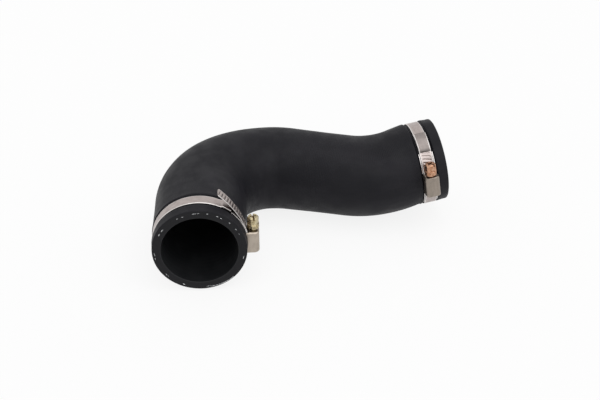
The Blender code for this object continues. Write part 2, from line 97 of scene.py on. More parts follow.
def spread(start: float, end: float, step: float) -> list[float]:
    """List evenly spaced values with both ends included.

    Args:
        start: First value.
        end: Last value.
        step: Longest distance between two values.

    Returns:
        The values in order.
    """
    count = max(1, math.ceil(abs(end - start) / step))
    return [start + (end - start) * i / count for i in range(count + 1)]


class Skin:
    """A closed mesh under construction, whose points also know where they lie on the raw piece."""

    def __init__(self) -> None:
        """Start with no points."""
        self.points: list[Vector] = []
        self.lays: list[Vector] = []
        self.faces: list[tuple[int, ...]] = []
        self.finishes: list[int] = []

    def ring(self, points: Sequence[Vector], lays: Sequence[Vector]) -> list[int]:
        """Add a row of points.

        Args:
            points: Places of the points.
            lays: For each point, its place on the raw piece, which the finishes follow.

        Returns:
            The points' numbers.
        """
        first = len(self.points)
        self.points.extend(points)
        self.lays.extend(lays)
        return list(range(first, first + len(points)))

    def join(self, near: Sequence[int], far: Sequence[int], finish: int = 0) -> None:
        """Skin the space between two equal closed rows.

        Args:
            near: Numbers of the first row.
            far: Numbers of the second row.
            finish: Number of the material on these faces.
        """
        count = len(near)
        for i in range(count):
            j = (i + 1) % count
            self.faces.append((near[i], near[j], far[j], far[i]))
            self.finishes.append(finish)

    def cap(self, row: Sequence[int], finish: int = 0) -> None:
        """Close a row with a fan round its middle.

        Args:
            row: Numbers of the closed row.
            finish: Number of the material on these faces.
        """
        count = len(row)
        middle = sum((self.points[i] for i in row), Vector()) / count
        lay = sum((self.lays[i] for i in row), Vector()) / count
        centre = self.ring([middle], [lay])[0]
        for i in range(count):
            self.faces.append((row[i], row[(i + 1) % count], centre))
            self.finishes.append(finish)

    def tube(self, rows: Sequence[Sequence[int]]) -> None:
        """Join rows in their order and close both ends.

        Args:
            rows: Numbers of the closed rows.
        """
        for near, far in zip(rows, rows[1:]):
            self.join(near, far)
        self.cap(rows[0])
        self.cap(rows[-1])

    def mesh(self, name: str, placement: Matrix | None = None, sharp: float = 40.0) -> bpy.types.Mesh:
        """Turn the skin into a smooth-shaded mesh whose faces point out.

        Args:
            name: Name of the mesh.
            placement: Matrix that takes the points into the row frame.
            sharp: Angle in degrees above which an edge stays sharp.

        Returns:
            The new mesh.
        """
        mesh = bpy.data.meshes.new(name)
        mesh.from_pydata([tuple(point) for point in self.points], [], self.faces)
        mesh.polygons.foreach_set("material_index", self.finishes)
        attribute = mesh.attributes.new(LAY, "FLOAT_VECTOR", "POINT")
        attribute.data.foreach_set("vector", [value for lay in self.lays for value in lay])
        bm = bmesh.new()
        bm.from_mesh(mesh)
        bmesh.ops.recalc_face_normals(bm, faces=bm.faces)
        bm.to_mesh(mesh)
        bm.free()
        if placement is not None:
            mesh.transform(placement)
        mesh.shade_smooth()
        mesh.set_sharp_from_angle(angle=math.radians(sharp))
        return mesh


def show(name: str, mesh: bpy.types.Mesh, finishes: Sequence[bpy.types.Material]) -> bpy.types.Object:
    """Put a mesh in the scene with its materials.

    Args:
        name: Name of the piece.
        mesh: Its mesh, in the row frame.
        finishes: Materials in slot order.

    Returns:
        The new object.
    """
    for finish in finishes:
        mesh.materials.append(finish)
    piece = bpy.data.objects.new(name, mesh)
    bpy.context.scene.collection.objects.link(piece)
    return piece


def carve(target: bpy.types.Object, cutters: Sequence[bpy.types.Object]) -> None:
    """Cut a piece with exact booleans and delete the cutters, whose materials line the cuts.

    Args:
        target: Piece that is cut.
        cutters: Objects that cut it.
    """
    for cutter in cutters:
        modifier = target.modifiers.new("carve", "BOOLEAN")
        modifier.operation = "DIFFERENCE"
        modifier.material_mode = "TRANSFER"
        modifier.solver = "EXACT"
        modifier.object = cutter
    bpy.context.view_layer.update()
    graph = bpy.context.evaluated_depsgraph_get()
    mesh = bpy.data.meshes.new_from_object(target.evaluated_get(graph))
    target.modifiers.clear()
    target.data = mesh
    for cutter in cutters:
        bpy.data.objects.remove(cutter, do_unlink=True)
    mesh.shade_smooth()
    mesh.set_sharp_from_angle(angle=math.radians(40))


class ShaderGraph:
    """Node tree of one material, with a short call for each kind of node that the finishes use."""

    def __init__(self, name: str) -> None:
        """Make the material.

        Args:
            name: Name of the material.
        """
        self.material = bpy.data.materials.new(name)
        self.material.use_nodes = True
        self.tree = self.material.node_tree
        self.shader = self.tree.nodes["Principled BSDF"]

    def feed(self, target: Socket, value: Socket | float | Sequence[float]) -> None:
        """Link a socket, or set it to a constant.

        Args:
            target: Input socket.
            value: Output socket, or the constant.
        """
        if isinstance(value, bpy.types.NodeSocket):
            self.tree.links.new(value, target)
        else:
            target.default_value = value

    def lay(self) -> Socket:
        """Give each point's place on the raw piece.

        Returns:
            The place as a vector.
        """
        node = self.tree.nodes.new("ShaderNodeAttribute")
        node.attribute_name = LAY
        return node.outputs["Vector"]

    def split(self, vector: Socket) -> tuple[Socket, Socket, Socket]:
        """Separate a vector into its parts.

        Args:
            vector: The vector.

        Returns:
            Its X, Y and Z.
        """
        node = self.tree.nodes.new("ShaderNodeSeparateXYZ")
        self.feed(node.inputs[0], vector)
        return node.outputs[0], node.outputs[1], node.outputs[2]

    def stretched(self, vector: Socket, scale: Sequence[float]) -> Socket:
        """Scale a vector by axis.

        Args:
            vector: Vector in metres.
            scale: Factor for each axis, in features per metre.

        Returns:
            The scaled vector.
        """
        node = self.tree.nodes.new("ShaderNodeMapping")
        node.vector_type = "POINT"
        self.feed(node.inputs["Vector"], vector)
        node.inputs["Scale"].default_value = scale
        return node.outputs[0]

    def cloud(self, vector: Socket, scale: float, detail: float = 2.0, rough: float = 0.5) -> Socket:
        """Give soft noise from 0 to 1.

        Args:
            vector: Place.
            scale: Features per unit of the vector.
            detail: Number of finer layers.
            rough: Strength of the finer layers.

        Returns:
            The noise value.
        """
        node = self.tree.nodes.new("ShaderNodeTexNoise")
        self.feed(node.inputs["Vector"], vector)
        node.inputs["Scale"].default_value = scale
        node.inputs["Detail"].default_value = detail
        node.inputs["Roughness"].default_value = rough
        return node.outputs[0]

    def calc(self, operation: str, first: Socket | float, second: Socket | float = 0.0) -> Socket:
        """Do one sum.

        Args:
            operation: Name of the operation.
            first: First value.
            second: Second value, where the operation has one.

        Returns:
            The result.
        """
        node = self.tree.nodes.new("ShaderNodeMath")
        node.operation = operation
        self.feed(node.inputs[0], first)
        self.feed(node.inputs[1], second)
        return node.outputs[0]

    def remap(
        self, value: Socket, low: float, high: float, to_low: float = 0.0, to_high: float = 1.0,
    ) -> Socket:
        """Map one range to another with soft ends.

        Args:
            value: Value to map.
            low: Value that gives to_low.
            high: Value that gives to_high.
            to_low: Result at the low end.
            to_high: Result at the high end.

        Returns:
            The mapped value.
        """
        node = self.tree.nodes.new("ShaderNodeMapRange")
        node.interpolation_type = "SMOOTHSTEP"
        self.feed(node.inputs["Value"], value)
        node.inputs["From Min"].default_value = low
        node.inputs["From Max"].default_value = high
        node.inputs["To Min"].default_value = to_low
        node.inputs["To Max"].default_value = to_high
        return node.outputs[0]

    def blend(self, share: Socket, first: Socket | Colour, second: Socket | Colour) -> Socket:
        """Mix two colours.

        Args:
            share: Share of the second colour.
            first: First colour.
            second: Second colour.

        Returns:
            The mixed colour.
        """
        node = self.tree.nodes.new("ShaderNodeMix")
        node.data_type = "RGBA"
        self.feed(node.inputs[0], share)
        for socket, value in ((node.inputs[6], first), (node.inputs[7], second)):
            self.feed(socket, value if isinstance(value, bpy.types.NodeSocket) else (*value, 1.0))
        return node.outputs[2]

    def waves(self, value: Socket, pitch: float) -> Socket:
        """Give a sine from 0 to 1 that repeats at a pitch in metres."""
        turned = self.calc("SINE", self.calc("MULTIPLY", value, 2 * math.pi / pitch))
        return self.remap(turned, -1.0, 1.0)

    def emboss(
        self, height: Socket, distance: float, strength: float = 1.0, under: Socket | None = None,
    ) -> Socket:
        """Turn a height into a bumped normal.

        Args:
            height: Height from 0 to 1.
            distance: Size of the full height in metres.
            strength: Share of the effect.
            under: Normal that this one is laid over.

        Returns:
            The new normal.
        """
        node = self.tree.nodes.new("ShaderNodeBump")
        node.inputs["Strength"].default_value = strength
        node.inputs["Distance"].default_value = distance
        self.feed(node.inputs["Height"], height)
        if under is not None:
            self.feed(node.inputs["Normal"], under)
        return node.outputs[0]

    def finish(self, **inputs: Socket | float | Sequence[float]) -> bpy.types.Material:
        """Set the shader's inputs and give the material.

        Args:
            inputs: Value for each input, named with underscores for spaces.

        Returns:
            The finished material.
        """
        for name, value in inputs.items():
            self.feed(self.shader.inputs[name.replace("_", " ").title().replace("Ior", "IOR")], value)
        return self.material


@dataclass(frozen=True)
class MouldedRubber:
    """Outside of the hose: black rubber that was cured in wrapped cloth and kept its print."""

    deep: Colour = (0.0066, 0.0065, 0.0088)
    pale: Colour = (0.0132, 0.0126, 0.0160)
    rib_pitch: float = 0.00125
    rib_height: float = 0.00010
    weave_count: int = 210
    weave_height: float = 0.00005
    grain_height: float = 0.00006

    def material(self) -> bpy.types.Material:
        """Build the material.

        Returns:
            The material.
        """
        graph = ShaderGraph("moulded_rubber")
        lay = graph.lay()
        across, above, along = graph.split(lay)
        drift = graph.cloud(lay, 38.0, 2.0)
        swayed = graph.calc("ADD", along, graph.calc("MULTIPLY", drift, 0.0016))
        ribs = graph.waves(swayed, self.rib_pitch)
        patches = graph.remap(graph.cloud(graph.stretched(lay, (1.0, 1.0, 0.7)), 26.0, 1.0), 0.42, 0.66)
        angle = graph.calc("ARCTAN2", above, across)
        strands = graph.calc("SINE", graph.calc("MULTIPLY", angle, float(self.weave_count)))
        weave = graph.remap(strands, -1.0, 1.0)
        grain = graph.cloud(lay, 2600.0, 3.0, 0.6)
        normal = graph.emboss(graph.calc("MULTIPLY", ribs, patches), self.rib_height, 0.8)
        normal = graph.emboss(graph.calc("MULTIPLY", weave, patches), self.weave_height, 0.5, normal)
        normal = graph.emboss(grain, self.grain_height, 0.55, normal)
        tone = graph.cloud(graph.stretched(lay, (1.0, 1.0, 0.45)), 55.0, 4.0, 0.6)
        bloom = graph.calc("ADD", graph.remap(tone, 0.35, 0.7, 0.0, 0.75), graph.calc("MULTIPLY", ribs, 0.12))
        roughness = graph.remap(graph.cloud(lay, 90.0, 3.0), 0.3, 0.7, 0.50, 0.64)
        return graph.finish(
            base_color=graph.blend(bloom, self.deep, self.pale), roughness=roughness,
            specular_ior_level=0.165, normal=normal,
        )


@dataclass(frozen=True)
class CutRubber:
    """Cut ends of the wall, with the faint lines of its cloth plies."""

    base: Colour = (0.0088, 0.0088, 0.0102)
    pale: Colour = (0.0200, 0.0200, 0.0225)
    ply_radius: float = 0.0303
    ply_width: float = 0.00045
    grain_height: float = 0.00012

    def material(self) -> bpy.types.Material:
        """Build the material.

        Returns:
            The material.
        """
        graph = ShaderGraph("cut_rubber")
        lay = graph.lay()
        across, above, _along = graph.split(lay)
        across_squared = graph.calc("MULTIPLY", across, across)
        above_squared = graph.calc("MULTIPLY", above, above)
        radius = graph.calc("SQRT", graph.calc("ADD", across_squared, above_squared))
        off_ply = graph.calc("ABSOLUTE", graph.calc("SUBTRACT", radius, self.ply_radius))
        ply = graph.remap(off_ply, 0.0, self.ply_width, 1.0, 0.0)
        broken = graph.remap(graph.cloud(lay, 700.0, 2.0), 0.45, 0.7)
        grain = graph.cloud(lay, 1900.0, 4.0, 0.65)
        streaks = graph.waves(radius, 0.00055)
        normal = graph.emboss(grain, self.grain_height, 0.7)
        normal = graph.emboss(graph.calc("MULTIPLY", streaks, grain), 0.00006, 0.6, normal)
        share = graph.calc("ADD", graph.calc("MULTIPLY", graph.calc("MULTIPLY", ply, broken), 0.6),
                           graph.remap(grain, 0.4, 0.8, 0.0, 0.5))
        return graph.finish(
            base_color=graph.blend(share, self.base, self.pale), roughness=0.62,
            specular_ior_level=0.17, normal=normal,
        )


@dataclass(frozen=True)
class LinerRubber:
    """Bore of the hose: smooth dark liner."""

    base: Colour = (0.0080, 0.0086, 0.0098)
    pale: Colour = (0.0130, 0.0138, 0.0152)

    def material(self) -> bpy.types.Material:
        """Build the material.

        Returns:
            The material.
        """
        graph = ShaderGraph("liner_rubber")
        lay = graph.lay()
        _across, _above, along = graph.split(lay)
        drift = graph.cloud(lay, 60.0, 2.0)
        rings = graph.waves(graph.calc("ADD", along, graph.calc("MULTIPLY", drift, 0.003)), 0.0046)
        grain = graph.cloud(lay, 1500.0, 3.0)
        normal = graph.emboss(rings, 0.00008, 0.4)
        normal = graph.emboss(grain, 0.00004, 0.5, normal)
        return graph.finish(
            base_color=graph.blend(graph.remap(drift, 0.4, 0.7), self.base, self.pale), roughness=0.5,
            specular_ior_level=0.3, normal=normal,
        )


@dataclass(frozen=True)
class FrayedYarn:
    """Pale reinforcing yarn where the cut laid it bare."""

    base: Colour = (0.34, 0.35, 0.36)
    pale: Colour = (0.78, 0.79, 0.80)

    def material(self) -> bpy.types.Material:
        """Build the material.

        Returns:
            The material.
        """
        graph = ShaderGraph("frayed_yarn")
        tone = graph.cloud(graph.lay(), 900.0, 3.0)
        normal = graph.emboss(graph.cloud(graph.lay(), 6000.0, 2.0), 0.00005, 0.8)
        return graph.finish(
            base_color=graph.blend(graph.remap(tone, 0.35, 0.65), self.base, self.pale), roughness=0.8,
            normal=normal,
        )


@dataclass(frozen=True)
class SatinZinc:
    """Zinc-plated strip steel with the grain of its rolling, cloudy and a little uneven."""

    name: str
    base: Colour = (0.370, 0.320, 0.304)
    cloudy: Colour = (0.465, 0.410, 0.390)
    dull: Colour = (0.245, 0.213, 0.202)
    # Colour of the painted highlight along the edges.
    edge_highlight: Colour = (0.745, 0.715, 0.700)
    # Colour of the painted shade on a lying tail, under its end and on the tray's floor.
    shade_colour: Colour = (0.085, 0.078, 0.074)
    roughness: float = 0.36
    grain_height: float = 0.00003
    # Where the painted edge highlight sits across the strip, and how wide it is; 0 leaves it out.
    edge_at: float = 0.0
    edge_width: float = 0.0008
    floor_height: float = 0.0
    # Stretches along the strip that take painted shade: start, length and strength.
    painted_shade: tuple[tuple[float, float, float], ...] = ()
    shade_fade_in: float = 0.0004

    def material(self) -> bpy.types.Material:
        """Build the material.

        Returns:
            The material.
        """
        graph = ShaderGraph(self.name)
        lay = graph.lay()
        rolled = graph.stretched(lay, (5200.0, 170.0, 900.0))
        grain = graph.cloud(rolled, 1.0, 3.0, 0.6)
        clouds = graph.cloud(graph.stretched(lay, (1.0, 0.45, 1.0)), 420.0, 4.0, 0.6)
        blotches = graph.remap(graph.cloud(lay, 170.0, 3.0), 0.52, 0.75)
        cloudiness = graph.remap(clouds, 0.32, 0.68, 0.0, 0.7)
        tone = graph.calc("ADD", cloudiness, graph.remap(grain, 0.35, 0.65, -0.12, 0.3))
        colour = graph.blend(tone, self.base, self.cloudy)
        colour = graph.blend(graph.calc("MULTIPLY", blotches, 0.45), colour, self.dull)
        roughness = graph.calc(
            "ADD", graph.remap(grain, 0.3, 0.7, self.roughness - 0.06, self.roughness + 0.07),
            graph.calc("MULTIPLY", blotches, 0.08),
        )
        across, along, height = graph.split(lay)
        # Painted shade: darkens a lying tail and its ramp, and paints the shadow that the tail's end casts on
        # the band below.
        for start, length, strength in self.painted_shade:
            begun = graph.remap(along, start - self.shade_fade_in, start)
            fading = graph.remap(along, start, start + length, strength, 0.0)
            colour = graph.blend(graph.calc("MULTIPLY", begun, fading), colour, self.shade_colour)
        # Painted shade: the tray's floor is darkened as if in the shadow of the tail and band above it,
        # broken up a little by noise.
        if self.floor_height:
            low = graph.remap(height, self.floor_height * 1.2, self.floor_height * 2.2, 1.0, 0.0)
            floor_shade = graph.remap(graph.cloud(lay, 650.0, 3.0), 0.30, 0.55, 0.72, 1.0)
            colour = graph.blend(graph.calc("MULTIPLY", low, floor_shade), colour, self.shade_colour)
        # Painted highlight: a pale stripe along the strip's edges and the tray's rims, where the rolled edges
        # catch the light; noise breaks it up.
        if self.edge_at:
            beside = graph.calc("ABSOLUTE", across)
            highlight_share = graph.remap(clouds, 0.30, 0.55, 0.55, 0.95)
            edge = graph.remap(beside, self.edge_at - self.edge_width, self.edge_at - self.edge_width / 3)
            colour = graph.blend(graph.calc("MULTIPLY", edge, highlight_share), colour, self.edge_highlight)
        normal = graph.emboss(grain, self.grain_height, 0.5)
        return graph.finish(base_color=colour, metallic=1.0, roughness=roughness, normal=normal)


@dataclass(frozen=True)
class TintedPlating:
    """Passivated plating on a screw: one main tint that drifts to two others."""

    name: str
    main: Colour
    bright: Colour
    dark: Colour
    roughness: float = 0.27

    def material(self) -> bpy.types.Material:
        """Build the material.

        Returns:
            The material.
        """
        graph = ShaderGraph(self.name)
        lay = graph.lay()
        drift = graph.cloud(lay, 520.0, 4.0, 0.65)
        stains = graph.remap(graph.cloud(lay, 700.0, 4.0, 0.7), 0.49, 0.62)
        grain = graph.cloud(lay, 5200.0, 2.0)
        colour = graph.blend(graph.remap(drift, 0.38, 0.66), self.main, self.bright)
        colour = graph.blend(graph.calc("MULTIPLY", stains, 0.8), colour, self.dark)
        roughness = graph.remap(drift, 0.3, 0.7, self.roughness - 0.05, self.roughness + 0.14)
        normal = graph.emboss(grain, 0.00004, 0.5)
        normal = graph.emboss(graph.cloud(lay, 800.0, 2.0), 0.00010, 0.35, normal)
        return graph.finish(base_color=colour, metallic=1.0, roughness=roughness, normal=normal)


@dataclass(frozen=True)
class Run:
    """One stretch of the centreline, straight where its bend radius is zero."""

    start: Vector
    ahead: Vector
    length: float
    bend_radius: float = 0.0
    side: Vector = field(default_factory=Vector)

    def at(self, along: float) -> tuple[Vector, Vector]:
        """Give the point and direction at a distance from the stretch's start.

        Args:
            along: Distance in metres.

        Returns:
            The point and the unit direction.
        """
        if self.bend_radius == 0.0:
            return self.start + self.ahead * along, self.ahead.copy()
        angle = along / self.bend_radius
        sideways = self.side * (self.bend_radius * (1 - math.cos(angle)))
        point = self.start + self.ahead * (self.bend_radius * math.sin(angle)) + sideways
        return point, self.ahead * math.cos(angle) + self.side * math.sin(angle)


@dataclass(frozen=True)
class HoseCourse:
    """Centreline of the hose: four straight legs joined by three arcs."""

    front_mouth: Vector = field(default_factory=lambda: Vector((-0.0719836, -0.0708496, 0.0336933)))
    leg_lengths: tuple[float, ...] = (0.1269, 0.1388, 0.0274, 0.0236)
    headings: tuple[float, ...] = (94.1, -12.9, 18.0, 9.8)
    rises: tuple[float, ...] = (0.0, 0.0, 15.3, 9.1)
    bend_radii: tuple[float, ...] = (0.0523, 0.0729, 0.0420)

    def runs(self) -> list[Run]:
        """Lay out the straight and bent stretches in order.

        Returns:
            The stretches.
        """
        legs = []
        for length, heading, rise in zip(self.leg_lengths, self.headings, self.rises):
            turn, climb = math.radians(heading), math.radians(rise)
            level = math.cos(climb)
            legs.append(Vector((level * math.cos(turn), level * math.sin(turn), math.sin(climb))) * length)
        runs = []
        start = self.front_mouth.copy()
        corner = self.front_mouth.copy()
        for leg, next_leg, radius in zip(legs, legs[1:], self.bend_radii):
            corner = corner + leg
            before, after = leg.normalized(), next_leg.normalized()
            turn = before.angle(after)
            setback = radius * math.tan(turn / 2)
            bend_start = corner - before * setback
            runs.append(Run(start, before, (bend_start - start).length))
            side = (after - before * after.dot(before)).normalized()
            runs.append(Run(bend_start, before, radius * turn, radius, side))
            start = corner + after * setback
        end = corner + legs[-1]
        runs.append(Run(start, legs[-1].normalized(), (end - start).length))
        return runs


class HosePath:
    """The centreline, ready to be walked along."""

    def __init__(self, course: HoseCourse) -> None:
        """Measure the course.

        Args:
            course: Legs and bends of the hose.
        """
        self.runs = course.runs()
        self.length = sum(run.length for run in self.runs)

    def at(self, distance: float) -> tuple[Vector, Vector]:
        """Give the point and direction at a distance from the front mouth.

        Args:
            distance: Distance along the centreline.

        Returns:
            The point and the unit direction.
        """
        start = 0.0
        for run in self.runs[:-1]:
            if distance <= start + run.length:
                return run.at(distance - start)
            start += run.length
        return self.runs[-1].at(distance - start)

    def axes(self, distance: float) -> tuple[Vector, Vector, Vector, Vector]:
        """Give the frame of the hose at a distance from the front mouth.

        Args:
            distance: Distance along the centreline.

        Returns:
            The centre, the level sideways axis, the upward axis and the direction.
        """
        centre, ahead = self.at(distance)
        across = Vector((0, 0, 1)).cross(ahead).normalized()
        return centre, across, ahead.cross(across).normalized(), ahead


@dataclass(frozen=True)
class YarnMark:
    """A stretch of bare yarn on the front cut end."""

    angle: float
    radius: float
    spread: float
    fibres: int


@dataclass
class RubberHose:
    """The moulded hose with its bore, its cut ends and the yarn in them."""

    path: HosePath
    seats: tuple[float, float]
    bore_radius: float = 0.0265
    walls: tuple[tuple[float, float], ...] = (
        (0.00, 0.0061), (0.12, 0.0069), (0.30, 0.0072), (0.50, 0.0055),
        (0.70, 0.0047), (0.86, 0.0046), (1.00, 0.0049),
    )
    bite: float = 0.0008
    groove_half: float = 0.0056
    shoulder: float = 0.0010
    swell: float = 0.0004
    swell_length: float = 0.0045
    outer_round: float = 0.0006
    inner_round: float = 0.0004
    sides: int = 120
    ring_step: float = 0.0019
    face_step: float = 0.0006
    waviness: float = 0.00010
    face_waviness: float = 0.4
    marks: tuple[YarnMark, ...] = (
        YarnMark(63.7, 0.0301, 1.2, 3), YarnMark(71.2, 0.0298, 1.2, 4),
        YarnMark(86.5, 0.0304, 2.2, 20), YarnMark(91.5, 0.0305, 0.9, 8),
        YarnMark(102.6, 0.0306, 0.7, 12), YarnMark(115.9, 0.0306, 0.8, 12),
        YarnMark(121.4, 0.0302, 0.6, 4), YarnMark(134.1, 0.0305, 0.8, 13),
        YarnMark(147.1, 0.0303, 0.8, 9), YarnMark(154.6, 0.0303, 0.7, 3),
        YarnMark(-167.0, 0.0304, 2.4, 12), YarnMark(36.5, 0.0301, 1.7, 16),
        YarnMark(29.0, 0.0301, 1.5, 14), YarnMark(-2.8, 0.0307, 1.8, 13),
        YarnMark(-9.6, 0.0308, 1.1, 8), YarnMark(-37.5, 0.0303, 1.3, 6),
        YarnMark(-42.0, 0.0304, 0.8, 4), YarnMark(-65.5, 0.0304, 1.4, 18),
        YarnMark(-98.5, 0.0306, 2.4, 12), YarnMark(-106.0, 0.0312, 4.0, 24),
        YarnMark(-114.0, 0.0315, 4.4, 30), YarnMark(-122.5, 0.0317, 4.4, 30),
        YarnMark(-131.0, 0.0318, 4.0, 22),
    )
    yarn_spacing: float = 13.0
    rear_ply_depth: float = 0.0031
    fibre_radius: float = 0.00009

    def wall(self, distance: float) -> float:
        """Give the unclamped wall at a distance along the hose.

        Args:
            distance: Distance along the hose.

        Returns:
            The wall's thickness.
        """
        share = distance / self.path.length
        for (low, wall), (high, next_wall) in zip(self.walls, self.walls[1:]):
            if share <= high:
                return wall + (next_wall - wall) * ease((share - low) / (high - low))
        return self.walls[-1][1]

    def seat_radius(self, centre: float) -> float:
        """Give the radius at the bottom of a clamp's groove."""
        return self.bore_radius + self.wall(centre) - self.bite

    def outer_radius(self, distance: float) -> float:
        """Give the outer radius: pressed in under each clamp and swollen a little beside it.

        Args:
            distance: Distance along the hose.

        Returns:
            The radius.
        """
        radius = self.bore_radius + self.wall(distance)
        for centre in self.seats:
            beside = abs(distance - centre) - self.groove_half
            if beside <= 0:
                return self.seat_radius(centre)
            if beside < self.shoulder:
                low = self.seat_radius(centre)
                return low + (radius + self.swell - low) * ease(beside / self.shoulder)
            share = (beside - self.shoulder) / self.swell_length
            if share < 1:
                return radius + self.swell * (1 - ease(share))
        return radius

    def profile(self) -> list[tuple[float, float, WallFinish]]:
        """List distance, radius and finish round the wall's long section, from the front edge back to it.

        Returns:
            The stations.
        """
        length, bore = self.path.length, self.bore_radius
        outer, inner = self.outer_round, self.inner_round
        front_edge, rear_edge = self.outer_radius(0.0), self.outer_radius(length)
        outside, cut, lined = WallFinish.OUTSIDE, WallFinish.CUT, WallFinish.BORE
        marks = set(spread(outer, length - outer, self.ring_step))
        for centre in self.seats:
            for reach in spread(0.0, self.shoulder, self.shoulder / 4):
                marks.update((centre - self.groove_half - reach, centre + self.groove_half + reach))
        turns = [(1 - math.sin(turn), 1 - math.cos(turn)) for turn in spread(0.0, math.pi / 2, math.pi / 8)]
        back_turns = list(reversed(turns))
        stations = [(outer * along, front_edge - outer * fall, outside) for along, fall in back_turns]
        stations += [(mark, self.outer_radius(mark), outside) for mark in sorted(marks)[1:-1]]
        stations += [(length - outer * along, rear_edge - outer * fall, outside) for along, fall in turns]
        rear_face = spread(rear_edge - outer, bore + inner, self.face_step)
        stations += [(length, radius, cut) for radius in rear_face[1:-1]]
        stations += [(length - inner * fall, bore + inner * along, lined) for along, fall in turns]
        bore_marks = spread(inner, length - inner, 2 * self.ring_step)
        stations += [(mark, bore, lined) for mark in reversed(bore_marks[1:-1])]
        stations += [(inner * fall, bore + inner * along, lined) for along, fall in back_turns]
        front_face = spread(bore + inner, front_edge - outer, self.face_step)
        stations += [(0.0, radius, cut) for radius in front_face[1:-1]]
        return stations

    def build_wall(self) -> bpy.types.Mesh:
        """Sweep the wall's long section into one closed skin.

        Returns:
            The mesh, with material numbers for outside, cut ends and bore.
        """
        skin = Skin()
        rows: list[tuple[list[int], WallFinish]] = []
        for distance, radius, finish in self.profile():
            centre, across, above, _ahead = self.path.axes(distance)
            points, lays = [], []
            for i in range(self.sides):
                turn = 2 * math.pi * i / self.sides
                lay = Vector((radius * math.cos(turn), radius * math.sin(turn), distance))
                wave = noise.noise(lay * 55.0) * self.waviness
                if finish is not WallFinish.OUTSIDE:
                    wave *= self.face_waviness
                true = radius - abs(wave)
                points.append(centre + (across * math.cos(turn) + above * math.sin(turn)) * true)
                lays.append(lay)
            rows.append((skin.ring(points, lays), finish))
        for (near, near_finish), (far, far_finish) in zip(rows, rows[1:] + rows[:1]):
            finish = near_finish if near_finish is far_finish else WallFinish.CUT
            skin.join(near, far, finish)
        return skin.mesh("hose_wall", sharp=60.0)

    def add_fibre(self, skin: Skin, end: Side, angle: float, radius: float, rng: random.Random) -> None:
        """Lay one short curved fibre on a cut end.

        Args:
            skin: Skin that takes the fibre.
            end: Which cut end.
            angle: Place round the end, in degrees.
            radius: Distance from the bore's axis.
            rng: Source of small differences.
        """
        at_front = end is Side.FRONT
        centre, across, above, ahead = self.path.axes(0.0 if at_front else self.path.length)
        out = -ahead if at_front else ahead
        length = rng.uniform(0.0004, 0.0010)
        swing = rng.uniform(-0.22, 0.22)
        lift = rng.uniform(0.00001, 0.00013)
        rings = []
        steps = 5
        for i in range(steps + 1):
            share = i / steps - 0.5
            turn = math.radians(angle) + share * length * math.cos(swing) / radius
            reach = radius + share * length * math.sin(swing)
            middle = centre + across * (reach * math.cos(turn)) + above * (reach * math.sin(turn))
            middle += out * (lift * (1 - 4 * share * share))
            radial = across * math.cos(turn) + above * math.sin(turn)
            thick = self.fibre_radius * math.sqrt(max(1 - 3.4 * share * share, 0.05))
            points = [
                middle + (radial * math.cos(t) + out * math.sin(t)) * thick
                for t in (0.0, 1.26, 2.51, 3.77, 5.03)
            ]
            rings.append(skin.ring(points, points))
        skin.tube(rings)

    def build_yarn(self, end: Side) -> bpy.types.Mesh:
        """Scatter the bare yarn over a cut end.

        Args:
            end: Which cut end.

        Returns:
            The mesh of all the fibres.
        """
        rng = random.Random(11)
        marks = self.marks
        if end is Side.REAR:
            middle = self.bore_radius + self.rear_ply_depth
            marks = tuple(
                YarnMark(
                    turn * self.yarn_spacing + rng.uniform(-3, 3), middle,
                    rng.uniform(0.8, 2.4), rng.randint(3, 8),
                )
                for turn in range(round(360 / self.yarn_spacing))
            )
        skin = Skin()
        for mark in marks:
            for _ in range(mark.fibres):
                angle = mark.angle + rng.uniform(-mark.spread, mark.spread)
                self.add_fibre(skin, end, angle, mark.radius + rng.uniform(-0.0002, 0.0002), rng)
        return skin.mesh(f"{end.value}_yarn", sharp=80.0)

    def dress(self) -> list[bpy.types.Object]:
        """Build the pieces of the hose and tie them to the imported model.

        Returns:
            The pieces.
        """
        finishes = (MouldedRubber().material(), CutRubber().material(), LinerRubber().material())
        wall = show("hose_wall", self.build_wall(), finishes)
        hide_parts("hose_body")
        pieces = [wall]
        pale = FrayedYarn().material()
        for end in Side:
            pieces.append(show(f"{end.value}_yarn_ends", self.build_yarn(end), (pale,)))
        for piece in pieces:
            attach(piece, HOSE_BODY)
        return pieces


@dataclass(frozen=True)
class ClampSetting:
    """Where a clamp sits and how its free end was left."""

    side: Side
    centre: float
    outward: Vector
    aim: float
    screw_turn: float
    tray_end: float
    tail_kind: TailKind
    tail_length: float
    tail_plain: float


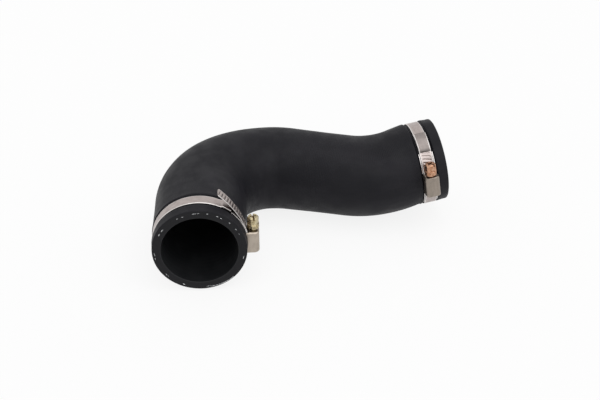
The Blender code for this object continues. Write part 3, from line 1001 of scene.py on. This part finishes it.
@dataclass
class WormClamp:
    """A worm-drive clamp: band, saddle, housing and screw."""

    setting: ClampSetting
    path: HosePath
    seat: float
    gap: float = 0.00025
    turning_gap: float = 0.0003
    band_width: float = 0.009
    sheet: float = 0.0006
    housing_sheet: float = 0.0007
    crest_radius: float = 0.0030
    root_radius: float = 0.0022
    pilot_radius: float = 0.0012
    neck_radius: float = 0.0023
    thread_pitch: float = 0.0027
    head_reach: float = 0.0071
    tip_reach: float = 0.0094
    roof_round: float = 0.0028
    shoulder: float = 0.0016
    end_edge: float = 0.0003
    tip_drop: float = 0.0014
    flange_radius: float = 0.00415
    flange_thickness: float = 0.0033
    hex_flats: float = 0.007
    hex_length: float = 0.0056
    slot_width: float = 0.0011
    slot_depth: float = 0.0019
    slot_turn: float = math.radians(28)
    cross_length: float = 0.0044
    saddle_tip: float = math.radians(-42)
    lap_length: float = 0.0052
    rim_height: float = 0.0006
    rise_start: float = math.radians(-62)
    rise_end: float = math.radians(-45)
    step_length: float = 0.0021
    slot_long: float = 0.0062
    slot_broad: float = 0.0012
    slot_press: float = 0.00034
    slot_slant: float = math.radians(14)
    tail_corner: float = 0.0012
    lift_angle: float = math.radians(20)
    lift_radius: float = 0.069
    ramp_length: float = 0.0037
    ramp_lead: float = 0.0024
    edge_roll: float = 0.00010
    roll_width: float = 0.0009
    saddle_corner: float = 0.0009
    saddle_corner_length: float = 0.0011
    flange_round: float = 0.00035
    hex_foot: float = 0.0004
    hex_fillet: float = 0.00012
    chamfer_length: float = 0.0009
    chamfer_slope: float = 0.95
    dome_drop: float = 0.00018
    # Strengths of the painted shade on a lying tail and of the painted shadow under its end.
    tail_shade: float = 0.60
    under_tail_shadow: float = 0.80
    coarse: float = math.radians(2.5)
    fine: float = math.radians(0.5)

    def __post_init__(self) -> None:
        """Work out the radii of the layers from the groove outward."""
        half = self.sheet / 2
        self.inner_mid = self.seat + self.gap + half
        self.upper_mid = self.seat + 2 * self.gap + self.sheet + half
        self.screw_axis = self.upper_mid + half + self.turning_gap + self.crest_radius
        self.over_lap_mid = self.upper_mid + self.gap + self.sheet
        climbing = self.setting.tail_kind is TailKind.LYING
        lead = (self.ramp_length + self.ramp_lead) / self.upper_mid if climbing else 0.0
        self.band_end = self.setting.tray_end + lead
        self.saddle_end = self.band_end + self.lap_length / self.inner_mid
        self.exit_angle = math.atan2(self.head_reach, self.upper_mid)
        foot = self.screw_axis - self.flange_radius - self.turning_gap
        clear = math.sqrt(max((self.upper_mid + half) ** 2 - foot**2, 0.0))
        self.flange_start = max(self.head_reach + self.turning_gap, clear)
        self.label = self.setting.side.value

    def placement(self) -> Matrix:
        """Give the matrix from the clamp's own frame to the row frame.

        Returns:
            The matrix.
        """
        point, ahead = self.path.at(self.setting.centre)
        above = Vector((0, 0, 1))
        above = (above - ahead * above.dot(ahead)).normalized()
        side = ahead.cross(above)
        if side.dot(self.setting.outward) < 0:
            side = -side
        aim = self.setting.aim
        radial = side * math.cos(aim) + above * math.sin(aim)
        tangent = above * math.cos(aim) - side * math.sin(aim)
        matrix = Matrix((radial, tangent, radial.cross(tangent))).transposed().to_4x4()
        matrix.translation = point
        return matrix

    @staticmethod
    def polar(radius: float, angle: float) -> Vector:
        """Give a point of the clamp's own frame in the middle of its width."""
        return Vector((radius * math.cos(angle), radius * math.sin(angle), 0.0))

    def tail_line(self) -> list[Vector]:
        """List the points of the free end past the housing.

        Returns:
            Points in the clamp's frame.
        """
        if self.setting.tail_kind is TailKind.SPRUNG:
            held = spread(self.exit_angle, self.lift_angle, self.fine)[1:]
            free = self.setting.tail_length - (self.lift_angle - self.exit_angle) * self.upper_mid
            turns = spread(0.0, free / self.lift_radius, self.fine / 2)[1:]
            pivot = self.polar(self.upper_mid - self.lift_radius, self.lift_angle)
            sprung = [pivot + self.polar(self.lift_radius, self.lift_angle + turn) for turn in turns]
            return [self.polar(self.upper_mid, angle) for angle in held] + sprung
        ramp = self.ramp_length / self.upper_mid
        end = self.exit_angle + self.setting.tail_length / self.upper_mid
        climb = self.setting.tray_end
        line = []
        for angle in spread(self.exit_angle, climb, self.fine)[1:] + spread(climb, end, self.fine)[1:]:
            left = min(max(1 - (angle - climb) / ramp, 0.0), 1.0)
            line.append(self.polar(self.over_lap_mid - (self.over_lap_mid - self.upper_mid) * left**2, angle))
        return line

    def band_line(self) -> list[Vector]:
        """List the points of the band from its fixed end round the hose to the free end.

        Returns:
            Points in the clamp's frame.
        """
        full = 2 * math.pi
        rise_start, rise_end = full + self.rise_start, full + self.rise_end
        step_start = self.saddle_end + 2 * self.gap / self.inner_mid
        step_end = step_start + self.step_length / self.inner_mid
        line = []
        for angle in spread(self.band_end, step_end, self.fine):
            share = ease((angle - step_start) / (step_end - step_start))
            line.append(self.polar(self.upper_mid + (self.inner_mid - self.upper_mid) * share, angle))
        line += [self.polar(self.inner_mid, angle) for angle in spread(step_end, rise_start, self.coarse)[1:]]
        for angle in spread(rise_start, rise_end, self.coarse)[1:]:
            share = ease((angle - rise_start) / (rise_end - rise_start))
            line.append(self.polar(self.inner_mid + (self.upper_mid - self.inner_mid) * share, angle))
        threaded = full - math.atan2(self.tip_reach, self.upper_mid)
        line += [self.polar(self.upper_mid, angle) for angle in spread(rise_end, threaded, self.coarse)[1:]]
        exit_angle = full + self.exit_angle
        line += [self.polar(self.upper_mid, angle) for angle in spread(threaded, exit_angle, self.fine)[1:]]
        return line + self.tail_line()

    def painted_shade_stretches(self) -> tuple[tuple[float, float, float], ...]:
        """Find where shade is painted along the band: over a lying tail past the tray and its ramp, and as
        the shadow under that tail's end.

        Returns:
            Start, length and strength of each stretch, along the band from its fixed end.
        """
        if self.setting.tail_kind is TailKind.SPRUNG:
            return ()
        line = self.band_line()
        whole = sum((far - near).length for near, far in zip(line, line[1:]))
        tail_end = self.exit_angle + self.setting.tail_length / self.upper_mid
        climb = whole - (tail_end - self.setting.tray_end) * self.over_lap_mid
        under_end = (tail_end - self.band_end) * self.inner_mid
        return (
            (climb, 4 * (whole - climb), self.tail_shade),
            (climb, self.ramp_length, self.tail_shade),
            (under_end - self.sheet, 3 * self.sheet, self.under_tail_shadow),
        )

    def pressed(self, from_end: float, across: float, threaded: float) -> float:
        """Give how deep the thread slots press the band in at a point.

        Args:
            from_end: Distance from the free end.
            across: Distance from the middle of the band's width.
            threaded: Distance from the free end at which the slots stop.

        Returns:
            Depth in metres.
        """
        slanted = from_end + across * math.tan(self.slot_slant) - self.setting.tail_plain
        number = round(slanted / self.thread_pitch)
        if number < 0 or self.setting.tail_plain + number * self.thread_pitch > threaded:
            return 0.0
        beside = abs(slanted - number * self.thread_pitch)
        ends = max(abs(across) - (self.slot_long - self.slot_broad) / 2, 0.0)
        off = math.hypot(beside, ends)
        return self.slot_press * (1 - ease((off - self.slot_broad * 0.30) / (self.slot_broad * 0.34)))

    def strip_skin(
        self, line: Sequence[Vector], half_at: Callable[[float], float],
        press_at: Callable[[float, float], float], columns: int = 30,
    ) -> Skin:
        """Skin a metal strip along a line, with round edges that are rolled up a little.

        Args:
            line: Points through the middle of the sheet.
            half_at: Half the width at a distance from the line's end.
            press_at: Depth pressed in at a distance from the end and across the width.
            columns: Number of faces across the width.

        Returns:
            The skin, in the clamp's frame.
        """
        skin = Skin()
        travelled = [0.0]
        for near, far in zip(line, line[1:]):
            travelled.append(travelled[-1] + (far - near).length)
        half_sheet = self.sheet / 2
        rows = []
        for i, point in enumerate(line):
            along = (line[min(i + 1, len(line) - 1)] - line[max(i - 1, 0)]).normalized()
            normal = Vector((along.y, -along.x, 0.0))
            from_end = travelled[-1] - travelled[i]
            half = half_at(from_end) - half_sheet
            points, lays = [], []

            def add(across: float, height: float) -> None:
                """Add one point of the section, rolled up near the edges.

                Args:
                    across: Place across the width.
                    height: Height above the middle of the sheet.
                """
                roll = self.edge_roll * ease((abs(across) - half + self.roll_width) / self.roll_width)
                points.append(point + normal * (height + roll) + Vector((0, 0, across)))
                lays.append(Vector((across, travelled[i], height)))

            for column in range(columns + 1):
                add(-half + 2 * half * column / columns, -half_sheet)
            for turn in (-0.9, 0.0, 0.9):
                add(half + half_sheet * math.cos(turn), half_sheet * math.sin(turn))
            for column in range(columns + 1):
                across = half - 2 * half * column / columns
                add(across, half_sheet - press_at(from_end, across))
            for turn in (0.9, 0.0, -0.9):
                add(-half - half_sheet * math.cos(turn), half_sheet * math.sin(turn))
            rows.append(skin.ring(points, lays))
        skin.tube(rows)
        return skin

    def build_band(self) -> bpy.types.Mesh:
        """Build the band with its pressed thread and its rounded free end.

        Returns:
            The mesh in the row frame.
        """
        line = self.band_line()
        last, before = line[-1], line[-2]
        back = (before - last).normalized()
        steps = [self.tail_corner * share for share in (1.0, 0.7, 0.45, 0.25, 0.1, 0.03)]
        while (line[-1] - last).length < self.tail_corner:
            line.pop()
        line += [last + back * step for step in steps] + [last]
        tail = self.setting.tail_length
        threaded = tail + self.head_reach + self.tip_reach

        def half_at(from_end: float) -> float:
            """Give half the band's width, with round corners at the free end.

            Args:
                from_end: Distance from the free end.

            Returns:
                Half the width.
            """
            inset = max(self.tail_corner - from_end, 0.0)
            corner = math.sqrt(max(self.tail_corner**2 - inset**2, 0.0))
            return self.band_width / 2 - self.tail_corner + corner

        skin = self.strip_skin(line, half_at, lambda end, across: self.pressed(end, across, threaded))
        return skin.mesh(f"{self.label}_band", self.placement(), sharp=50.0)

    def saddle_section(self, half: float, rim: float) -> list[tuple[float, float]]:
        """Give the saddle's cross-section as across and height pairs.

        Args:
            half: Half the outer width.
            rim: Height of the rims above the floor.

        Returns:
            The points in order round the section.
        """
        under, floor = -self.sheet / 2, self.sheet / 2
        soft = self.sheet * 0.3
        inner = half - self.sheet
        right = [
            (half - soft, under), (half, under + soft),
            (half, floor + rim - soft), (half - soft / 3, floor + rim),
            (inner + soft / 3, floor + rim), (inner, floor + rim - soft),
            (inner, floor + min(soft, rim)), (inner - soft, floor),
        ]
        left = [(-across, height) for across, height in reversed(right)]
        return [(0.0, under)] + right + [(0.0, floor)] + left

    def build_saddle(self) -> bpy.types.Mesh:
        """Build the saddle: rimmed on both sides of the housing, with a tongue under the band's end.

        Returns:
            The mesh in the row frame.
        """
        tip_clear = math.atan2(self.tip_reach, self.inner_mid) + 2 * self.gap / self.inner_mid
        head_clear = self.exit_angle + 2 * self.gap / self.inner_mid
        rim_end = self.setting.tray_end - 2 * self.gap / self.inner_mid
        slim, wide = self.band_width / 2, self.band_width / 2 + self.gap + self.sheet
        flat = 0.00002
        ramp = math.radians(1.0)
        angles = sorted(
            set(spread(self.saddle_tip, self.saddle_end, math.radians(1.5)))
            | set(spread(rim_end - ramp, rim_end, ramp / 4))
            | set(spread(head_clear - ramp / 4, head_clear + ramp, ramp / 4))
            | set(spread(-tip_clear - ramp, -tip_clear + ramp / 4, ramp / 4))
        )
        skin = Skin()
        rows = []
        for angle in angles:
            tip_share = ease((-tip_clear - angle) / (ramp / 2))
            head_share = ease((angle - head_clear) / (ramp / 2)) * ease((rim_end - angle) / (ramp / 2))
            share = max(tip_share, head_share)
            corner = 0.0
            for limit in (self.saddle_tip, self.saddle_end):
                inside = abs(angle - limit) * self.inner_mid / self.saddle_corner_length
                corner = max(corner, self.saddle_corner * (1 - ease(inside)))
            half = slim + (wide - slim) * share - corner
            section = self.saddle_section(half, flat + self.rim_height * share)
            radial = self.polar(1.0, angle)
            middle = radial * self.inner_mid
            points = [middle + radial * height + Vector((0, 0, across)) for across, height in section]
            lays = [Vector((across, angle * self.inner_mid, height)) for across, height in section]
            rows.append(skin.ring(points, lays))
        skin.tube(rows)
        return skin.mesh(f"{self.label}_saddle", self.placement(), sharp=50.0)

    def tunnel_section(
        self, half: float, foot: float, roof: float, corner: float,
    ) -> list[tuple[float, float]]:
        """Give a cross-section of the housing as outward and across pairs.

        Args:
            half: Half the width.
            foot: Where the side walls end near the hose.
            roof: Height of the roof.
            corner: Radius between walls and roof.

        Returns:
            The points in order round the section.
        """
        outline = [(foot, -half)]
        for turn in spread(0.0, math.pi / 2, math.pi / 20):
            outward = roof - corner + corner * math.sin(turn)
            outline.append((outward, -half + corner - corner * math.cos(turn)))
        return outline + [(x, -across) for x, across in reversed(outline)]

    def screw_lays(self, points: Sequence[Vector]) -> list[Vector]:
        """Give the places of points as across, along the screw, and out from its axis."""
        return [Vector((point.z, point.y, point.x - self.screw_axis)) for point in points]

    def screw_ring(self, y: float, radii: Sequence[float]) -> list[Vector]:
        """Place a ring of points round the screw's axis.

        Args:
            y: Place along the screw.
            radii: Radius of each point, evenly spaced round the axis.

        Returns:
            The points, in the clamp's frame.
        """
        turns = [2 * math.pi * i / len(radii) for i in range(len(radii))]
        return [
            Vector((self.screw_axis + radius * math.cos(turn), y, radius * math.sin(turn)))
            for radius, turn in zip(radii, turns)
        ]

    def tunnel_skin(
        self, stations: Sequence[tuple[float, float, float]], section: Sequence[tuple[float, float]],
    ) -> Skin:
        """Skin a tunnel along the screw.

        Args:
            stations: For each ring, its place along the screw, its roof's drop and its walls' inset.
            section: The full cross-section.

        Returns:
            The skin, in the clamp's frame.
        """
        skin = Skin()
        roof = max(x for x, _across in section)
        foot = min(x for x, _across in section)
        rows = []
        for y, drop, inset in stations:
            share = (roof - drop - foot) / (roof - foot)
            points = []
            for x, across in section:
                slim = 1 - inset / max(abs(value) for _x, value in section)
                points.append(Vector((foot + (x - foot) * share if drop else x, y, across * slim)))
            rows.append(skin.ring(points, self.screw_lays(points)))
        skin.tube(rows)
        return skin

    def round_bar(self, radius: float, start: float, end: float, sides: int = 64) -> Skin:
        """Skin a round bar on the screw's axis.

        Args:
            radius: Its radius.
            start: Where it starts along the screw.
            end: Where it ends.
            sides: Number of its faces.

        Returns:
            The skin, in the clamp's frame.
        """
        skin = Skin()
        rows = []
        for y in (start, end):
            points = self.screw_ring(y, [radius] * sides)
            rows.append(skin.ring(points, self.screw_lays(points)))
        skin.tube(rows)
        return skin

    def cutter(self, skin: Skin, finish: bpy.types.Material) -> bpy.types.Object:
        """Make a cutting object.

        Args:
            skin: Its skin, in the clamp's frame.
            finish: Material of the surfaces that it cuts.

        Returns:
            The object.
        """
        piece = show("cutter", skin.mesh("cutter", self.placement()), (finish,))
        piece.hide_render = True
        return piece

    def build_housing(self, finish: bpy.types.Material) -> bpy.types.Object:
        """Build the folded housing over the screw, with rounded ends, and hollow it out.

        Args:
            finish: Its material.

        Returns:
            The object in the row frame.
        """
        inner_half = self.band_width / 2 + self.gap
        outer_half = inner_half + self.housing_sheet
        inner_roof = self.screw_axis + self.crest_radius + self.turning_gap
        outer_roof = inner_roof + self.housing_sheet
        foot = self.seat * math.cos(self.tip_reach / self.seat)
        tip, head = -self.tip_reach, self.head_reach
        stations = [
            (tip + self.tip_drop * (1 - math.cos(turn)), self.tip_drop * (1 - math.sin(turn)),
             self.end_edge * (1 - math.sin(turn)))
            for turn in spread(0.0, math.pi / 2, math.pi / 14)
        ]
        stations += [(y, 0.0, 0.0) for y in spread(tip + self.tip_drop, head - self.shoulder, 0.002)[1:]]
        for turn in spread(0.0, math.pi / 2, math.pi / 16)[1:]:
            back = self.shoulder * (1 - math.sin(turn))
            drop = max(self.end_edge - back, 0.0)
            stations.append((head - back, drop, self.shoulder * (1 - math.cos(turn))))
        section = self.tunnel_section(outer_half, foot, outer_roof, self.roof_round)
        shell = self.tunnel_skin(stations, section)
        name = f"{self.label}_housing"
        housing = show(name, shell.mesh(name, self.placement()), (finish,))
        wall = self.housing_sheet
        cavity = self.tunnel_section(inner_half, foot - wall, inner_roof, self.roof_round - wall)
        drop = self.tip_drop - 0.3 * wall
        hollow = self.tunnel_skin(
            ((tip + wall, drop, 0.0), (tip + wall + drop, 0.0, 0.0), (head - wall, 0.0, 0.0)), cavity
        )
        passage = self.tunnel_section(
            inner_half, foot - wall, self.upper_mid + self.sheet / 2 + self.gap, self.gap
        )
        slot = self.tunnel_skin(((tip - wall, 0.0, 0.0), (head + wall, 0.0, 0.0)), passage)
        neck = self.round_bar(self.neck_radius + self.turning_gap, 0.0, head + wall)
        pilot = self.round_bar(self.pilot_radius + self.turning_gap, tip - wall, 0.0)
        carve(housing, [self.cutter(skin, finish) for skin in (hollow, slot, neck, pilot)])
        drum = Skin()
        turns = [2 * math.pi * i / 240 for i in range(240)]
        rows = []
        for z in (-2 * outer_half, 2 * outer_half):
            points = [Vector((self.inner_mid * math.cos(t), self.inner_mid * math.sin(t), z)) for t in turns]
            rows.append(drum.ring(points, points))
        drum.tube(rows)
        carve(housing, [self.cutter(drum, finish)])
        return housing

    def hex_reach(self, angle: float) -> float:
        """Give the distance from the axis to the hex head's side.

        Args:
            angle: Angle round the axis.

        Returns:
            The distance.
        """
        sector = math.pi / 3
        off = (angle - self.setting.screw_turn + sector / 2) % sector - sector / 2
        flat = self.hex_flats / 2
        corner = flat / math.cos(sector / 2)
        return min(flat / math.cos(sector / 2 - abs(off)), corner)

    def thread_radius(self, y: float, angle: float, start: float, end: float) -> float:
        """Give the worm's radius at a place along and round it.

        Args:
            y: Place along the screw.
            angle: Angle round it.
            start: Where the thread starts.
            end: Where it ends.

        Returns:
            The radius.
        """
        phase = (y / self.thread_pitch - angle / (2 * math.pi)) % 1.0
        flank = ease(4.0 * abs(phase - 0.5) - 0.5)
        fade = max(min((y - start) / self.thread_pitch, (end - y) / self.thread_pitch, 1.0), 0.0)
        return self.root_radius + (self.crest_radius - self.root_radius) * (1.0 - flank) * fade

    def build_slot_cutters(self, top: float, painted_shade: bpy.types.Material) -> list[bpy.types.Object]:
        """Make the cutters of the head's long slot and short cross slot.

        Args:
            top: Place of the head's end along the screw.
            painted_shade: Darker plating inside the slots, painted shade of their recesses.

        Returns:
            The cutters.
        """
        turned = Matrix.Rotation(-self.setting.screw_turn - self.slot_turn, 3, "Y")
        axis = Vector((self.screw_axis, 0.0, 0.0))
        cutters = []
        for length, width in (
            (3 * self.flange_radius, self.slot_width), (self.slot_width, self.cross_length),
        ):
            box = Skin()
            ends = []
            for y in (top - self.slot_depth, top + self.slot_depth):
                flare = 1.0 if y < top else 1.1
                corners = [
                    axis + turned @ Vector((sx * length / 2, y, sz * flare * width / 2))
                    for sx, sz in ((-1, -1), (1, -1), (1, 1), (-1, 1))
                ]
                ends.append(box.ring(corners, corners))
            box.tube(ends)
            # The cutters line the slots with a darker plating: painted shade in the recesses.
            cutters.append(self.cutter(box, painted_shade))
        return cutters

    def build_screw(self, finish: bpy.types.Material, painted_shade: bpy.types.Material) -> bpy.types.Object:
        """Build the worm screw with its flange and its slotted, chamfered hex head.

        Args:
            finish: Its material.
            painted_shade: Darker plating inside the slots, painted shade of their recesses.

        Returns:
            The object in the row frame.
        """
        sides = 96
        turns = [2 * math.pi * i / sides for i in range(sides)]
        start = -self.tip_reach + self.housing_sheet + self.turning_gap
        end = self.head_reach - self.housing_sheet - self.turning_gap
        flange_end = self.flange_start + self.flange_thickness
        top = flange_end + self.hex_length
        corner = self.hex_flats / 2 / math.cos(math.radians(30))
        rows: list[tuple[float, Callable[[float], float]]] = []

        def plain(y: float, radius: float) -> None:
            """Add a round row.

            Args:
                y: Place along the screw.
                radius: Radius of the row.
            """
            rows.append((y, lambda _angle: radius))

        plain(-self.tip_reach, self.pilot_radius - 0.0002)
        plain(-self.tip_reach + 0.0002, self.pilot_radius)
        plain(start, self.pilot_radius)
        for y in spread(start, end, self.thread_pitch / 24):
            rows.append((y, lambda angle, height=y: self.thread_radius(height, angle, start, end)))
        plain(end, self.neck_radius)
        plain(self.flange_start, self.neck_radius)
        soft = self.flange_round
        for turn in spread(-math.pi / 2, 0.0, math.pi / 8):
            radius = self.flange_radius - soft * (1 - math.cos(turn))
            plain(self.flange_start + soft * (1 + math.sin(turn)), radius)
        for turn in spread(0.0, math.pi / 2, math.pi / 8):
            radius = self.flange_radius - soft * (1 - math.cos(turn))
            plain(flange_end - soft * (1 - math.sin(turn)), radius)
        for rise in spread(0.0, self.hex_foot, self.hex_foot / 4):
            fillet = self.hex_fillet * (1 - ease(rise / self.hex_foot))
            rows.append((flange_end + rise * 0.5, lambda angle, more=fillet: self.hex_reach(angle) + more))
        for y in spread(flange_end + 0.0003, top, 0.00035):
            chamfer = max(y - (top - self.chamfer_length), 0.0) * self.chamfer_slope
            dome = self.dome_drop * ease((y - top + 0.0004) / 0.0004)
            limit = corner + self.hex_fillet - chamfer - dome
            rows.append((y, lambda angle, most=limit: min(self.hex_reach(angle), most)))
        plain(top + 0.00001, corner - 0.0014)
        skin = Skin()
        rings = []
        for y, radius_at in rows:
            points = self.screw_ring(y, [radius_at(turn) for turn in turns])
            rings.append(skin.ring(points, self.screw_lays(points)))
        skin.tube(rings)
        name = f"{self.label}_screw"
        screw = show(name, skin.mesh(name, self.placement(), sharp=32.0), (finish,))
        carve(screw, self.build_slot_cutters(top, painted_shade))
        screw.data.set_sharp_from_angle(angle=math.radians(32))
        return screw

    def dress(
        self, steels: Sequence[bpy.types.Material], platings: Sequence[bpy.types.Material],
    ) -> list[bpy.types.Object]:
        """Build the clamp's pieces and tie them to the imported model.

        Args:
            steels: Materials of the band, the saddle and the housing.
            platings: Materials of the screw and of the insides of its slots.

        Returns:
            The pieces.
        """
        band = show(f"{self.label}_band", self.build_band(), (steels[0],))
        saddle = show(f"{self.label}_saddle", self.build_saddle(), (steels[1],))
        housing = self.build_housing(steels[2])
        screw = self.build_screw(*platings)
        for piece, part in ((band, "band"), (saddle, "saddle"), (housing, "housing"), (screw, "screw")):
            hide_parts(f"{self.label}_clamp_{part}")
        for piece in (band, saddle, housing):
            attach(piece, HOSE_BODY)
        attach(screw, f"{self.label}_screw")
        return [band, saddle, housing, screw]


def background_rays(tree: bpy.types.NodeTree) -> Socket:
    """Tell the rays that see the background white: camera, glossy and transmission rays.

    Args:
        tree: Node tree that takes the nodes.

    Returns:
        1 for such a ray and 0 for any other.
    """
    path = tree.nodes.new("ShaderNodeLightPath")
    seen = path.outputs["Is Camera Ray"]
    for name in ("Is Glossy Ray", "Is Transmission Ray"):
        either = tree.nodes.new("ShaderNodeMath")
        either.operation = "MAXIMUM"
        tree.links.new(seen, either.inputs[0])
        tree.links.new(path.outputs[name], either.inputs[1])
        seen = either.outputs[0]
    return seen


@dataclass
class Studio:
    """Floor, light and camera."""

    floor_colour: Colour = (0.92, 0.92, 0.92)
    floor_radius: float = 4.0
    whiteness: float = 0.85
    camera_place: tuple[float, float, float] = (-0.0035577, -0.5699459, 0.3924933)
    camera_pitch: float = 57.535
    lens: float = 54.0
    sensor: float = 36.0
    sky_strength: float = 0.62
    sun_strength: float = 1.25
    sun_spread: float = 70.0
    sun_from: tuple[float, float, float] = (0.25, -0.45, 1.0)

    def build_floor(self) -> bpy.types.Object:
        """Build the plain pale floor.

        Returns:
            The floor.
        """
        bm = bmesh.new()
        bmesh.ops.create_circle(bm, cap_ends=True, segments=96, radius=self.floor_radius)
        mesh = bpy.data.meshes.new("floor")
        bm.to_mesh(mesh)
        bm.free()
        graph = ShaderGraph("pale_floor")
        graph.finish(base_color=(*self.floor_colour, 1.0), roughness=0.9, specular_ior_level=0.0)
        self.whiten(graph)
        floor = show("floor", mesh, (graph.material,))
        floor.location.z = -0.0002
        return floor

    def whiten(self, graph: ShaderGraph) -> None:
        """Show the floor nearly white to the camera and in reflections, with a faint shadow left.

        Args:
            graph: The floor's node tree.
        """
        nodes, links = graph.tree.nodes, graph.tree.links
        seen = background_rays(graph.tree)
        white = nodes.new("ShaderNodeEmission")
        white.inputs["Strength"].default_value = 1.0
        mix = nodes.new("ShaderNodeMixShader")
        links.new(graph.calc("MULTIPLY", seen, self.whiteness), mix.inputs[0])
        links.new(graph.shader.outputs[0], mix.inputs[1])
        links.new(white.outputs[0], mix.inputs[2])
        links.new(mix.outputs[0], nodes["Material Output"].inputs["Surface"])

    def build_sky(self) -> None:
        """Light the room evenly, and show it white to the camera and in reflections."""
        world = bpy.data.worlds.new("studio")
        bpy.context.scene.world = world
        world.use_nodes = True
        tree = world.node_tree
        tree.nodes.clear()
        output = tree.nodes.new("ShaderNodeOutputWorld")
        mix = tree.nodes.new("ShaderNodeMixShader")
        lit = tree.nodes.new("ShaderNodeBackground")
        seen = tree.nodes.new("ShaderNodeBackground")
        lit.inputs["Strength"].default_value = self.sky_strength
        seen.inputs["Strength"].default_value = 1.0
        for background in (lit, seen):
            background.inputs["Color"].default_value = (1.0, 1.0, 1.0, 1.0)
        tree.links.new(background_rays(tree), mix.inputs[0])
        tree.links.new(lit.outputs[0], mix.inputs[1])
        tree.links.new(seen.outputs[0], mix.inputs[2])
        tree.links.new(mix.outputs[0], output.inputs[0])

    def build_sun(self) -> bpy.types.Object:
        """Hang one broad soft light above the front.

        Returns:
            The lamp.
        """
        lamp = bpy.data.lights.new("soft_light", "SUN")
        lamp.energy = self.sun_strength
        lamp.angle = math.radians(self.sun_spread)
        sun = bpy.data.objects.new("soft_light", lamp)
        bpy.context.scene.collection.objects.link(sun)
        sun.rotation_euler = Vector(self.sun_from).to_track_quat("Z", "Y").to_euler()
        return sun

    def build_camera(self) -> bpy.types.Object:
        """Stand the camera where the photograph was taken from.

        Returns:
            The camera.
        """
        data = bpy.data.cameras.new("camera")
        data.lens = self.lens
        data.sensor_width = self.sensor
        data.clip_start = 0.01
        camera = bpy.data.objects.new("camera", data)
        bpy.context.scene.collection.objects.link(camera)
        camera.location = self.camera_place
        camera.rotation_euler = (math.radians(self.camera_pitch), 0.0, 0.0)
        bpy.context.scene.camera = camera
        return camera

    def build(self) -> None:
        """Build all of the studio."""
        bpy.context.scene.view_settings.view_transform = "Standard"
        self.build_floor()
        self.build_sky()
        self.build_sun()
        self.build_camera()


def main() -> None:
    """Build the hose, its clamps and the studio, and log each piece."""
    path = HosePath(HoseCourse())
    inset = 0.0140
    seats = (inset, path.length - inset)
    hose = RubberHose(path, seats)
    pieces = hose.dress()
    half_band = WormClamp.band_width / 2
    half_tray = half_band + WormClamp.gap + WormClamp.sheet
    # The saddle's finish carries painted shade on the tray's floor and a painted highlight on its rims.
    saddle_steel = SatinZinc("saddle_zinc", edge_at=half_tray, floor_height=WormClamp.sheet / 2).material()
    housing_steels = {
        Side.FRONT: SatinZinc(
            "front_housing_zinc",
            base=(0.36, 0.310, 0.260), cloudy=(0.45, 0.395, 0.335), dull=(0.24, 0.208, 0.172),
        ).material(),
        Side.REAR: SatinZinc(
            "rear_housing_zinc",
            base=(0.26, 0.225, 0.190), cloudy=(0.34, 0.290, 0.250), dull=(0.18, 0.153, 0.130),
        ).material(),
    }
    settings = (
        ClampSetting(
            Side.FRONT, seats[0], Vector((1, 0, 0)), 0.0, math.radians(53), math.radians(48.5),
            TailKind.SPRUNG, 0.0367, 0.0019,
        ),
        ClampSetting(
            Side.REAR, seats[1], Vector((0, -1, 0)), math.radians(3), math.radians(-69), math.radians(41.7),
            TailKind.LYING, 0.0322, 0.0170,
        ),
    )
    platings = {
        Side.FRONT: TintedPlating(
            "yellow_plating", (0.42, 0.35, 0.20), (0.60, 0.53, 0.36), (0.09, 0.06, 0.035),
        ),
        Side.REAR: TintedPlating(
            "copper_plating", (0.45, 0.23, 0.135), (0.60, 0.37, 0.25), (0.18, 0.07, 0.03),
        ),
    }
    # Darker platings that line the screws' slots: painted shade in the recesses.
    slot_shades = {
        Side.FRONT: TintedPlating(
            "yellow_slots", (0.16, 0.10, 0.045), (0.26, 0.17, 0.08), (0.05, 0.03, 0.02), 0.5,
        ),
        Side.REAR: TintedPlating(
            "copper_slots", (0.20, 0.075, 0.035), (0.32, 0.14, 0.07), (0.06, 0.025, 0.015), 0.5,
        ),
    }
    for setting in settings:
        clamp = WormClamp(setting, path, hose.seat_radius(setting.centre))
        # The band's finish carries painted shade on a lying tail, a painted shadow under its end and a
        # painted highlight along its edges.
        band_finish = SatinZinc(
            f"{setting.side.value}_band_zinc", edge_at=half_band, painted_shade=clamp.painted_shade_stretches(),
        )
        steels = (band_finish.material(), saddle_steel, housing_steels[setting.side])
        pieces += clamp.dress(steels, (platings[setting.side].material(), slot_shades[setting.side].material()))
    Studio().build()
    for piece in pieces:
        log.info("built %s with %d faces", piece.name, len(piece.data.polygons))
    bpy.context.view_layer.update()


if __name__ == "__main__":
    logging.basicConfig(level=logging.INFO, format="%(name)s: %(message)s")
    main()
